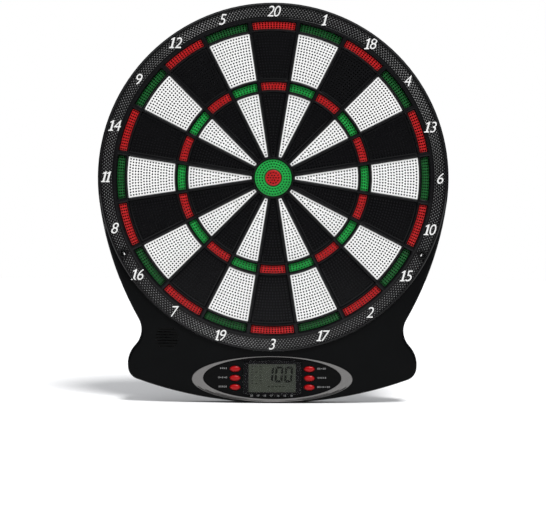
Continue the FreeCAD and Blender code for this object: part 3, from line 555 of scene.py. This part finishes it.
def build_materials():
    white, red, green = (0.74, 0.74, 0.73), srgb(162, 12, 15), srgb(16, 146, 58)
    black = (0.004, 0.004, 0.0043)
    made = [
        plastic(
            "housing_black", (0.0022, 0.0024, 0.0026), (0.12, 0.2), gloss=0.045, grain=900.0, depth=0.00001),
        plastic("rear_black", (0.014, 0.014, 0.015), (0.5, 0.62), gloss=0.35, grain=1400.0, depth=0.00012),
        plastic("ring_black", black, (0.14, 0.22), gloss=0.22),
        plastic("spider_black", (0.004, 0.004, 0.0045), (0.16, 0.24), gloss=0.16),
        plastic("segment_black", (0.004, 0.004, 0.0045), (0.12, 0.18), gloss=0.13),
        # The segments' colours get painted shade in their holes and on their flanks.
        segment_plastic("segment_white", white, SEGMENT_FACE, 0.03),
        segment_plastic("segment_red", red, SEGMENT_FACE, 0.1),
        # The green's double ring gets painted shade: its colour is darkened to 0.28 there.
        segment_plastic("segment_green", green, GREEN_FACE, 0.1, outer=0.28),
        plastic("number_white", (0.68, 0.68, 0.67), (0.35, 0.45), shade=0.05),
        plastic(
            "panel_black", (0.0022, 0.0022, 0.0024), (0.12, 0.2), gloss=0.045, grain=900.0, depth=0.00001),
        plastic("holder_black", (0.012, 0.012, 0.012), (0.45, 0.6)),
        plastic("strip_rubber", (0.12, 0.08, 0.1), (0.6, 0.75), shade=0.3, cloud=900.0),
        plastic("keypad_rubber", (0.28, 0.28, 0.27), (0.6, 0.75)),
        plastic("button_red", srgb(146, 4, 8), (0.2, 0.3), shade=0.1, gloss=0.22),
        plastic(
            "foam_grey", (0.05, 0.05, 0.052), (0.85, 0.95), shade=0.35, cloud=700.0, grain=1500.0,
            depth=0.0003),
        plastic("film_clear", (0.45, 0.46, 0.45), (0.15, 0.25), Alpha=0.5),
        plastic("film_white", (0.75, 0.75, 0.72), (0.35, 0.5)),
        plastic("plate_grey", (0.09, 0.09, 0.092), (0.45, 0.6)),
        plastic("component_black", (0.012, 0.012, 0.013), (0.4, 0.55), grain=3500.0),
        plastic(
            "cone_paper", (0.03, 0.028, 0.026), (0.85, 0.95), shade=0.4, cloud=600.0, grain=1200.0,
            depth=0.0002),
        plastic("magnet_grey", (0.05, 0.05, 0.053), (0.55, 0.7), shade=0.25),
        plastic("wire_red", (0.4, 0.012, 0.01), (0.35, 0.5)),
        metal("speaker_steel", (0.55, 0.55, 0.54)),
        metal("contact_steel", (0.62, 0.6, 0.56)),
        metal("screw_steel", (0.5, 0.5, 0.5)),
        silver_paint(), lens(), liquid_crystal(), circuit(), battery_jacket(), comb_plastic(),
        plastic("lcd_ink", (0.008, 0.009, 0.007), (0.35, 0.5), gloss=0.1),
        plastic("lcd_ghost", srgb(40, 46, 37), (0.35, 0.5), gloss=0.1),
        plastic("print_grey", (0.2, 0.2, 0.2), (0.4, 0.55), gloss=0.2),
        plastic("print_black", (0.003, 0.003, 0.0035), (0.25, 0.35), gloss=0.1),
    ]
    return {m.name: m for m in made}


imported = list(bpy.data.materials)
for old in imported:
    old.name = "cad_" + old.name
MATERIALS = build_materials()


def material(name):
    return MATERIALS[name]


def dress_cad_nodes():
    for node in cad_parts.values():
        for slot in node.material_slots:
            slot.material = material(slot.material.name.removeprefix("cad_"))


# ---------------------------------------------------------------- target

def half_angle(radius, inset):
    """Degrees from a sector's middle to a line that runs inset inside its side, at a radius."""
    return SECTOR_DEG / 2 - math.degrees(math.asin(inset / radius))


def patch(kind, inset, arc_steps=14, side_steps=6):
    """Outline of one sector of a ring, pulled in by inset, and a little more at the sides."""
    low, high = RINGS[kind][0] + inset, RINGS[kind][1] - inset
    aside = inset + SIDE_EXTRA[kind]
    at_low, at_high = half_angle(low, aside), half_angle(high, aside)
    corners = [polar(high, at_high), polar(low, at_low), polar(low, -at_low), polar(high, -at_high)]
    outer = [polar(high, -at_high + 2 * at_high * k / arc_steps) for k in range(arc_steps)]
    inner = [polar(low, at_low - 2 * at_low * k / arc_steps) for k in range(arc_steps)]
    down = [between(corners[0], corners[1], k / side_steps) for k in range(side_steps)]
    up = [between(corners[2], corners[3], k / side_steps) for k in range(side_steps)]
    return outer + down + inner + up


def perforation(kind):
    """Hole centres of a segment: rows on circles, evenly spread between the two sides."""
    edge = SEGMENT_INSET + HOLE_MARGIN[kind]
    low, high = RINGS[kind][0] + edge, RINGS[kind][1] - edge
    rows = max(2, round((high - low) / HOLE_PITCH))
    centres = []
    for row in range(rows + 1):
        radius = low + (high - low) * row / rows
        reach = half_angle(radius, edge + SIDE_EXTRA[kind])
        count = int(2 * math.radians(reach) * radius / HOLE_PITCH + 1.15)
        if count < 2:
            centres.append(polar(radius, 0.0))
            continue
        centres += [polar(radius, reach * (2 * k / (count - 1) - 1)) for k in range(count)]
    return centres


def pierced(shape, outer_top, outer_under, face, centres, hole, inner_top=(), inner_under=()):
    """Closes a plate between two outlines, with flared holes through it."""
    under = face - SEGMENT_PLATE
    radius, flare = hole
    tops, unders = [], []
    for centre in centres:
        rim = shape.loop(circle(radius + flare, HOLE_SIDES, centre), face)
        throat = shape.loop(circle(radius, HOLE_SIDES, centre), face - HOLE_FLARE_DEPTH)
        end = shape.loop(circle(radius, HOLE_SIDES, centre), under)
        shape.tube([rim, throat, end])
        tops.append(rim)
        unders.append(end)
    shape.fill(outer_top, tops + list(inner_top))
    shape.fill(outer_under, unders + list(inner_under))


def segment_mesh(kind, face, colour):
    shape = Shape()
    steps = [
        (SEGMENT_INSET + EDGE_ROUND, face), (SEGMENT_INSET + EDGE_MIDDLE, face - EDGE_MIDDLE),
        (SEGMENT_INSET, face - EDGE_ROUND),
        (SEGMENT_INSET, FLANGE_TOP), (FLANGE_INSET, FLANGE_TOP), (FLANGE_INSET, SEGMENT_FOOT),
        (SEGMENT_INSET + SKIRT, SEGMENT_FOOT), (SEGMENT_INSET + SKIRT, face - SEGMENT_PLATE),
    ]
    loops = [shape.loop(patch(kind, inset), d) for inset, d in steps]
    shape.tube(loops)
    pierced(shape, loops[0], loops[-1], face, perforation(kind), HOLE[kind])
    return shape.mesh(f"{kind}_{colour}", sharp=40.0)


def sector_turn(index):
    return 90.0 - SECTOR_DEG * index


def build_segments():
    meshes = {}
    for index, number in enumerate(NUMBERS):
        plain, bright = ("segment_white", "segment_green") if index % 2 else ("segment_black", "segment_red")
        for kind in RINGS:
            slot = plain if "single" in kind else bright
            face = GREEN_FACE if slot == "segment_green" else SEGMENT_FACE
            if (kind, slot) not in meshes:
                meshes[kind, slot] = segment_mesh(kind, face, slot)
            node = f"sector_{number:02d}"
            add(f"{kind}_{number:02d}", meshes[kind, slot], node, slot, sector_turn(index), [node])


def build_bulls():
    face, foot = SEGMENT_FACE, SEGMENT_FOOT
    under = face - SEGMENT_PLATE
    sides = 96
    shape = Shape()
    outside = [
        (BULL_RADIUS - EDGE_ROUND, face), (BULL_RADIUS - EDGE_MIDDLE, face - EDGE_MIDDLE),
        (BULL_RADIUS, face - EDGE_ROUND), (BULL_RADIUS, FLANGE_TOP),
        (BULL_RADIUS + BULL_FLANGE, FLANGE_TOP), (BULL_RADIUS + BULL_FLANGE, foot),
        (BULL_RADIUS - BULL_WALL, foot), (BULL_RADIUS - BULL_WALL, under),
    ]
    inside = [
        (BULL_LIP + LIP_ROUND, face), (BULL_LIP + LIP_MIDDLE, face - LIP_MIDDLE),
        (BULL_LIP, face - LIP_ROUND), (BULL_LIP, BULL_LEDGE), (BULL_BORE, BULL_LEDGE),
        (BULL_BORE, foot + BULL_COLLAR_RISE), (BULL_BORE + BULL_COLLAR, foot + BULL_COLLAR_RISE),
        (BULL_BORE + BULL_COLLAR, under),
    ]
    outer_loops = [shape.loop(circle(r, sides), d) for r, d in outside]
    inner_loops = [shape.loop(circle(r, sides), d) for r, d in inside]
    shape.tube(outer_loops)
    shape.tube(inner_loops)
    centres = []
    for radius, count in BULL_HOLES:
        centres += [polar(radius, 360.0 * (k + 0.5) / count) for k in range(count)]
    pierced(
        shape, outer_loops[0], outer_loops[-1], face, centres, HOLE["bull"],
        [inner_loops[0]], [inner_loops[-1]],
    )
    add("bull_outer", shape.mesh("bull_outer"), "outer_bull", "segment_green", replaced=["outer_bull"])

    shape = Shape()
    profile = [
        (INNER_BULL - EDGE_ROUND, face), (INNER_BULL - EDGE_MIDDLE, face - EDGE_MIDDLE),
        (INNER_BULL, face - EDGE_ROUND), (INNER_BULL, foot + INNER_FLANGE_RISE),
        (INNER_BULL + INNER_FLANGE, foot + INNER_FLANGE_RISE), (INNER_BULL + INNER_FLANGE, foot),
        (INNER_BULL - BULL_WALL, foot), (INNER_BULL - BULL_WALL, under),
    ]
    loops = [shape.loop(circle(r, sides), d) for r, d in profile]
    shape.tube(loops)
    centres = [(0.0, 0.0)]
    for radius, count in INNER_BULL_HOLES:
        centres += [polar(radius, 360.0 * k / count) for k in range(count)]
    pierced(shape, loops[0], loops[-1], face, centres, HOLE["bull"])
    add("bull_inner", shape.mesh("bull_inner"), "inner_bull", "segment_red", replaced=["inner_bull"])


def build_spider():
    """The whole web as one moulding: rounded ridges between the cells, a rim, a flange and a skirt."""
    shape = Shape()
    tops, unders = [], []
    for kind in RINGS:
        for index in range(len(NUMBERS)):
            turn = math.radians(sector_turn(index))
            loops = []
            for inset, d in RIDGE:
                outline = [turned(p, turn) for p in patch(kind, inset)]
                loops.append(shape.loop(outline, d))
            shape.tube(loops)
            tops.append(loops[0])
            unders.append(loops[-1])
    loops = [shape.loop(circle(BULL_RING - inset, 120), d) for inset, d in RIDGE]
    shape.tube(loops)
    tops.append(loops[0])
    unders.append(loops[-1])
    rim = [shape.loop(circle(r, 280), d) for r, d in SPIDER_RIM]
    shape.tube(rim)
    shape.fill(rim[0], tops)
    shape.fill(rim[-1], unders)
    add("spider_web", shape.mesh("spider_web"), "housing", "spider_black", replaced=["spider"])


def build_honeycomb():
    """Hexagonal pockets in staggered rings, left out where the two wall-screw collars stand."""
    collars = [polar(COLLAR_CIRCLE, degrees) for degrees in COLLAR_DEGS]
    half = 180.0 / COMB_CELLS
    corners = [(0, 2 / 3), (1, 1 / 3), (1, -1 / 3), (0, -2 / 3), (-1, -1 / 3), (-1, 1 / 3)]
    shape = Shape()
    for row in range(COMB_ROWS):
        radius = COMB_START + COMB_STEP * row
        for k in range(COMB_CELLS):
            middle = 2 * half * (k + 0.5 * (row % 2))
            x, y = polar(radius, middle)
            if any(math.hypot(x - cx, y - cy) < COLLAR_CLEAR for cx, cy in collars):
                continue
            rings = []
            for scale, peak, low in COMB_PROFILE:
                start = len(shape.points)
                for n, (a, b) in enumerate(corners):
                    at = polar(radius + COMB_STEP * b * scale, middle - half * a * scale)
                    shape.points.append((*at, low if n % 2 else peak))
                rings.append(list(range(start, start + len(corners))))
            shape.tube(rings)
            shape.faces.append(tuple(rings[-1]))
    mesh = bpy.data.meshes.new("honeycomb")
    mesh.from_pydata([(x * MM, -d * MM, y * MM) for x, y, d in shape.points], [], shape.faces)
    bm = bmesh.new()
    bm.from_mesh(mesh)
    bmesh.ops.remove_doubles(bm, verts=bm.verts, dist=2e-6)
    close_below(bm, COMB_BASE)
    bmesh.ops.recalc_face_normals(bm, faces=bm.faces)
    bm.to_mesh(mesh)
    bm.free()
    finish_mesh(mesh, 30.0)
    add("honeycomb", mesh, "housing", "ring_black", look="comb_black")


def close_below(bm, d):
    """Walls from every open edge down to height d, and a flat underside."""
    edges = [e for e in bm.edges if e.is_boundary]
    grown = bmesh.ops.extrude_edge_only(bm, edges=edges)["geom"]
    for vert in grown:
        if isinstance(vert, bmesh.types.BMVert):
            vert.co.y = -d * MM
    settle_order(bm)
    rest = [e for e in bm.edges if e.is_boundary]
    bmesh.ops.triangle_fill(bm, edges=rest, use_beauty=True)
    settle_order(bm)


def settle_order(bm):
    """Sort edges and faces by their vertices, because an extrusion's own order changes from run to run."""
    bm.verts.index_update()
    for kind in (bm.edges, bm.faces):
        for k, piece in enumerate(sorted(kind, key=lambda e: sorted(v.index for v in e.verts))):
            piece.index = k
        kind.sort()


# ---------------------------------------------------------------- lettering and marks

def text_mesh(text, height, depth, bevel, weight, slant, at, d):
    """Digits in the built-in typeface, standing on height d with their middle at a point."""
    curve = bpy.data.curves.new("text", "FONT")
    curve.body = text
    curve.size = 1.0
    curve.shear = slant
    curve.offset = weight
    curve.extrude = depth / height
    curve.bevel_depth = bevel / height
    curve.bevel_resolution = 1
    curve.resolution_u = 6
    holder = bpy.data.objects.new("text", curve)
    bpy.context.scene.collection.objects.link(holder)
    bpy.context.view_layer.update()
    mesh = bpy.data.meshes.new_from_object(holder.evaluated_get(bpy.context.evaluated_depsgraph_get()))
    bpy.data.objects.remove(holder)
    xs = [v.co.x for v in mesh.vertices]
    ys = [v.co.y for v in mesh.vertices]
    zs = [v.co.z for v in mesh.vertices]
    scale = height / (max(ys) - min(ys))
    lift = 2 * (depth + bevel) / (max(zs) - min(zs))
    middle = Vector(((max(xs) + min(xs)) / 2, (max(ys) + min(ys)) / 2, min(zs)))
    for v in mesh.vertices:
        p = v.co - middle
        v.co = ((at[0] + p.x * scale) * MM, -(d + p.z * lift) * MM, (at[1] + p.y * scale) * MM)
    return mesh


def joined(name, meshes):
    bm = bmesh.new()
    for mesh in meshes:
        bm.from_mesh(mesh)
    bmesh.ops.remove_doubles(bm, verts=bm.verts, dist=1e-7)
    bmesh.ops.recalc_face_normals(bm, faces=bm.faces)
    made = bpy.data.meshes.new(name)
    bm.to_mesh(made)
    bm.free()
    finish_mesh(made)
    return made


def slab(outline, low, high):
    """A flat mark with straight edges."""
    shape = Shape()
    loops = [shape.loop(outline, low), shape.loop(outline, high)]
    shape.tube(loops)
    shape.fill(loops[0])
    shape.fill(loops[1])
    return shape.mesh("slab")


def rectangle(x, y, width, height, lean=0.0):
    """A box about a point; lean moves the top to the right."""
    w, h = width / 2, height / 2
    return [(x - w - lean, y - h), (x + w - lean, y - h), (x + w + lean, y + h), (x - w + lean, y + h)]


def numeral_meshes(text, at, d):
    """Raised digits side by side; the 1 has a flag and a foot of its own."""
    widths = [ONE_WIDTH if digit == "1" else DIGIT_WIDTH for digit in text]
    x = -sum(widths) / 2
    corner = (0.5 * NUMERAL_SLANT - x) * NUMERAL_HEIGHT
    side = 1 if at[0] * at[1] >= 0 else -1
    reach = corner if side > 0 else -x * NUMERAL_HEIGHT
    far = math.hypot(abs(at[0]) + reach, abs(at[1]) + NUMERAL_HEIGHT / 2)
    near = 1 - min(NUMERAL_SHIFT, max(0.0, far - NUMERAL_REACH)) / math.hypot(*at)
    at = (at[0] * near, at[1] * near)
    made = []
    for digit, width in zip(text, widths):
        middle = at[0] + (x + width / 2) * NUMERAL_HEIGHT
        if digit == "1":
            outline = [
                (
                    middle + (px + NUMERAL_SLANT * (py - 0.5)) * NUMERAL_HEIGHT,
                    at[1] + (py - 0.5) * NUMERAL_HEIGHT,
                )
                for px, py in ONE
            ]
            made.append(slab(outline, d, d + NUMERAL_RISE))
        else:
            glyph = text_mesh(
                digit, NUMERAL_HEIGHT, NUMERAL_RISE / 2 - NUMERAL_BEVEL, NUMERAL_BEVEL, NUMERAL_WEIGHT,
                NUMERAL_SLANT, (middle, at[1]), d,
            )
            for vert in glyph.vertices:
                vert.co.x = middle * MM + (vert.co.x - middle * MM) * DIGIT_SQUEEZE
            made.append(glyph)
        x += width
    return made


def build_numerals():
    meshes = []
    for index, number in enumerate(NUMBERS):
        at = polar(NUMERAL_CIRCLE, sector_turn(index))
        meshes += numeral_meshes(str(number), at, NUMERAL_FOOT)
    add("numerals", joined("numerals", meshes), "housing", "number_white")


# ---------------------------------------------------------------- console

def groove_depth(share, degrees):
    """How deep the trim is grooved: three arcs near the lower outer edge, fading out towards the ends."""
    low = max(0.0, -math.sin(math.radians(degrees)))
    deepest = 0.0
    for middle, width, start, end in TRIM_GROOVES:
        if start < low <= end:
            fade = min(1.0, 8 * (low - start), 30 * (end - low) + 0.01)
            deepest = max(deepest, fade * max(0.0, 1 - abs(share - middle) / width))
    return TRIM_GROOVE * min(1.0, 2 * deepest)


def build_trim():
    """The silver surround: a flat band with lowered edges, grooved along its lower outer side."""
    shape = Shape()
    around, across = 360, 50
    outer = ellipse(TRIM_OUTER, around, (0.0, TRIM_OUTER_Y))
    inner = ellipse(TRIM_INNER, around, (0.0, TRIM_INNER_Y))
    loops = [shape.loop(outer, TRIM_FOOT)]
    for step in range(across + 1):
        share = step / across
        loop = []
        for k, (start, end) in enumerate(zip(outer, inner)):
            edge = min(1.0, share / TRIM_EDGE, (1 - share) / TRIM_EDGE)
            height = TRIM_TOP - TRIM_EDGE_DROP * (1 - edge) - groove_depth(share, k * 360 / around)
            loop.append(len(shape.points))
            shape.points.append((*between(start, end, share), height))
        loops.append(loop)
    loops.append(shape.loop(inner, TRIM_FOOT))
    shape.tube(loops)
    shape.bridge(loops[-1], loops[0])
    mesh = shape.mesh("trim_surround", sharp=40.0)
    add("trim_surround", mesh, "housing", "trim_silver", replaced=["oval_trim"])


def build_buttons():
    """Domed caps over the flange that holds each one under the panel."""
    for side, sign in (("left", -1), ("right", 1)):
        for row, rise in BUTTON_ROWS.items():
            at = (sign * BUTTON_X, OVAL_Y + rise * BUTTON_STEP)
            shape = Shape()
            loops = [shape.loop(ellipse((a, b), 72, at), d) for a, b, d in BUTTON_PROFILE]
            shape.tube(loops)
            shape.faces.append(tuple(loops[-1]))
            shape.faces.append(tuple(loops[0]))
            node = f"button_{side}_{row}"
            add(f"cap_{side}_{row}", shape.mesh(f"cap_{side}_{row}"), node, "button_red", replaced=[node])


def build_window_print():
    """The black border printed behind the lens, open over the display."""
    half = (LENS_OVAL[0] - BORDER_INSET, LENS_OVAL[1] - BORDER_INSET)
    edge = LENS_HALF_WIDTH - BORDER_INSET
    outline = []
    for k in range(BORDER_STEPS + 1):
        x = edge * (1 - 2 * k / BORDER_STEPS)
        outline.append((x, OVAL_Y + half[1] * math.sqrt(1 - (x / half[0]) ** 2)))
    outline += [(x, 2 * OVAL_Y - y) for x, y in reversed(outline)]
    low, high, wide = OVAL_Y - WINDOW_DROP, OVAL_Y + WINDOW_RISE, WINDOW_HALF_WIDTH
    window = [(-wide, low), (wide, low), (wide, high), (-wide, high)]
    shape = Shape()
    pairs = []
    for d in (LENS_UNDER - 0.17, LENS_UNDER - 0.05):
        pairs.append((shape.loop(outline, d), shape.loop(window, d)))
        shape.fill(pairs[-1][0], [pairs[-1][1]])
    shape.bridge(pairs[0][0], pairs[1][0])
    shape.bridge(pairs[0][1], pairs[1][1])
    add("window_print", shape.mesh("window_print"), "housing", "panel_black", look="print_black")


def seven_segment(digit, x, y, width, height, stroke, lean):
    """Bars of one display digit; x and y are its lower left corner."""
    gap, mid, cut = 0.2, height / 2, stroke / 2
    bars = {
        "a": [
            (gap + cut / 2, height), (width - gap - cut / 2, height),
            (width - stroke - gap, height - stroke), (stroke + gap, height - stroke),
        ],
        "b": [
            (width, height - gap - cut / 2), (width - stroke, height - stroke - gap),
            (width - stroke, mid + cut), (width, mid + gap),
        ],
        "c": [
            (width, gap + cut / 2), (width - stroke, stroke + gap),
            (width - stroke, mid - cut), (width, mid - gap),
        ],
        "d": [
            (gap + cut / 2, 0), (width - gap - cut / 2, 0),
            (width - stroke - gap, stroke), (stroke + gap, stroke),
        ],
        "e": [(0, gap + cut / 2), (stroke, stroke + gap), (stroke, mid - cut), (0, mid - gap)],
        "f": [
            (0, height - gap - cut / 2), (stroke, height - stroke - gap), (stroke, mid + cut), (0, mid + gap),
        ],
    }
    return [[(x + px + lean * py, y + py) for px, py in bars[name]] for name in DISPLAY_BARS[digit]]


def build_display():
    """The score, and the faint marks of a display's unlit signs."""
    low, high = LCD_TOP, LCD_TOP + PRINT
    outlines = []
    for digit, x in SCORE:
        outlines += seven_segment(digit, x, SCORE_FOOT, SCORE_WIDTH, SCORE_HEIGHT, SCORE_STROKE, SCORE_LEAN)
    digits = joined("score_digits", [slab(o, low, high) for o in outlines])
    add("score_digits", digits, "housing", "lcd_grey", look="lcd_ink")
    faint = []
    for row in range(7):
        y = -239.6 - 3.6 * row
        for column in range(3):
            x = -25.6 + 5.4 * column
            if (row * 2 + column) % 4 != 3:
                faint.append(rectangle(x, y, 2.6, 1.1, 0.1))
            if (row + column) % 3 == 0:
                faint.append(rectangle(x + 1.1, y + 1.25, 0.6, 0.7, 0.05))
    for k in range(5):
        faint.append(rectangle(-4.0 + 4.6 * k, -265.0, 3.0, 1.2, 0.1))
    marks = joined("status_marks", [slab(o, low, high) for o in faint])
    add("status_marks", marks, "housing", "lcd_grey", look="lcd_ghost")


def build_legends():
    """Small grey marks: the numbers under the window and a pictogram beside every button."""
    d = PANEL_FACE + 0.005
    marks = []
    for k, text in enumerate(NUMBER_MARKS):
        at = (NUMBER_MARK_START + NUMBER_MARK_STEP * k, NUMBER_MARK_Y)
        marks.append(text_mesh(text, NUMBER_MARK_HEIGHT, 0.01, 0.0, 0.01, 0.0, at, d))
    bull = NUMBER_MARK_START + NUMBER_MARK_STEP * len(NUMBER_MARKS)
    for radius in (1.35, 0.6):
        marks.append(ring_mark((bull, NUMBER_MARK_Y), radius, radius - 0.35, d))
    for row, (left, right) in enumerate(LEGEND_ROWS):
        y = OVAL_Y + (1 - row) * BUTTON_STEP + LEGEND_RISE
        marks += pictogram_row(-LEGEND_X - left[0], y, left, d) + pictogram_row(LEGEND_X, y, right, d)
    add("legends", joined("legends", marks), "housing", "number_white", look="print_grey")


def pictogram_row(x, y, row, d):
    """A row of plain printed signs, x from its left end: o ring, > arrow, + cross, | bar, - dash."""
    width, signs = row
    step = width / len(signs)
    made = []
    for k, sign in enumerate(signs):
        at = (x + step * (k + 0.5), y)
        half = min(step, 2.4) * 0.42
        if sign == "o":
            made.append(ring_mark(at, 1.1, 0.6, d))
        elif sign == ">":
            corners = [(at[0] - half, y - 1.1), (at[0] + half, y), (at[0] - half, y + 1.1)]
            made.append(slab(corners, d, d + PRINT))
        elif sign == "|":
            made.append(slab(rectangle(*at, 0.9, 2.2), d, d + PRINT))
        else:
            made.append(slab(rectangle(*at, 2 * half, 0.7), d, d + PRINT))
            if sign == "+":
                made.append(slab(rectangle(*at, 0.7, 2.2), d + 0.001, d + PRINT))
    return made


def ring_mark(at, outer, inner, d):
    shape = Shape()
    low = [shape.loop(circle(r, 20, at), d) for r in (outer, inner)]
    high = [shape.loop(circle(r, 20, at), d + PRINT) for r in (outer, inner)]
    shape.fill(low[0], [low[1]])
    shape.fill(high[0], [high[1]])
    shape.bridge(low[0], high[0])
    shape.bridge(low[1], high[1])
    return shape.mesh("ring_mark")


# ---------------------------------------------------------------- studio

def build_studio():
    """A pale floor under the board, a white surround that lights from above, and one soft sun."""
    floor_z = cad_box[0].z
    mesh = bpy.data.meshes.new("floor")
    size = 12.0
    corners = [(-size, -size), (size, -size), (size, size), (-size, size)]
    mesh.from_pydata([(x, y, floor_z) for x, y in corners], [], [(0, 1, 2, 3)])
    floor = bpy.data.objects.new("floor", mesh)
    bpy.context.scene.collection.objects.link(floor)
    made = Nodes("floor_pale")
    soft = made.noise(3.0, 4.0)
    made.put(
        Base_Color=made.ramp(soft, [(0.3, (0.9, 0.9, 0.9)), (0.7, (0.93, 0.93, 0.93))]),
        Roughness=made.spread(soft, 0.8, 0.9),
        Specular_IOR_Level=0.0,
    )
    mesh.materials.append(made.material)

    world = bpy.data.worlds.new("studio")
    bpy.context.scene.world = world
    world.use_nodes = True
    nodes, links = world.node_tree.nodes, world.node_tree.links
    nodes.clear()
    output = nodes.new("ShaderNodeOutputWorld")
    mix = nodes.new("ShaderNodeMixShader")
    seen = nodes.new("ShaderNodeBackground")
    lit = nodes.new("ShaderNodeBackground")
    path = nodes.new("ShaderNodeLightPath")
    place = nodes.new("ShaderNodeTexCoord")
    split = nodes.new("ShaderNodeSeparateXYZ")
    ramp = nodes.new("ShaderNodeValToRGB")
    seen.inputs["Color"].default_value = (1, 1, 1, 1)
    seen.inputs["Strength"].default_value = 1.0
    lit.inputs["Strength"].default_value = 1.0
    ramp.color_ramp.elements[0].position = 0.0
    ramp.color_ramp.elements[0].color = (0.05, 0.05, 0.053, 1)
    ramp.color_ramp.elements[1].position = 0.9
    ramp.color_ramp.elements[1].color = (0.8, 0.81, 0.83, 1)
    links.new(place.outputs["Generated"], split.inputs[0])
    links.new(split.outputs["Z"], ramp.inputs["Fac"])
    links.new(ramp.outputs["Color"], lit.inputs["Color"])
    links.new(path.outputs["Is Camera Ray"], mix.inputs["Fac"])
    links.new(lit.outputs[0], mix.inputs[1])
    links.new(seen.outputs[0], mix.inputs[2])
    links.new(mix.outputs[0], output.inputs["Surface"])

    sun = bpy.data.lights.new("key", "SUN")
    sun.energy = 3.1
    sun.angle = math.radians(20.0)
    key = bpy.data.objects.new("key", sun)
    bpy.context.scene.collection.objects.link(key)
    key.rotation_euler = Vector((0.24, -0.55, 0.8)).to_track_quat("Z", "Y").to_euler()


def build_camera():
    """Straight on and a hair off level, below the bull: the view's middle is 111 mm under it."""
    data = bpy.data.cameras.new("camera")
    data.sensor_fit = "HORIZONTAL"
    data.sensor_width = 36.0
    distance, view_width = 1.5, 0.6918
    data.lens = data.sensor_width * distance / view_width
    camera = bpy.data.objects.new("camera", data)
    bpy.context.scene.collection.objects.link(camera)
    camera.location = (0.0003, -distance - SEGMENT_FACE * MM, -0.1105)
    camera.rotation_euler = (math.radians(90.0), math.radians(-0.3), 0.0)
    bpy.context.scene.camera = camera
    bpy.context.scene.view_settings.view_transform = "Standard"


dress_cad_nodes()
build_segments()
build_bulls()
build_spider()
build_honeycomb()
build_numerals()
build_trim()
build_buttons()
build_window_print()
build_display()
build_legends()
build_studio()
build_camera()
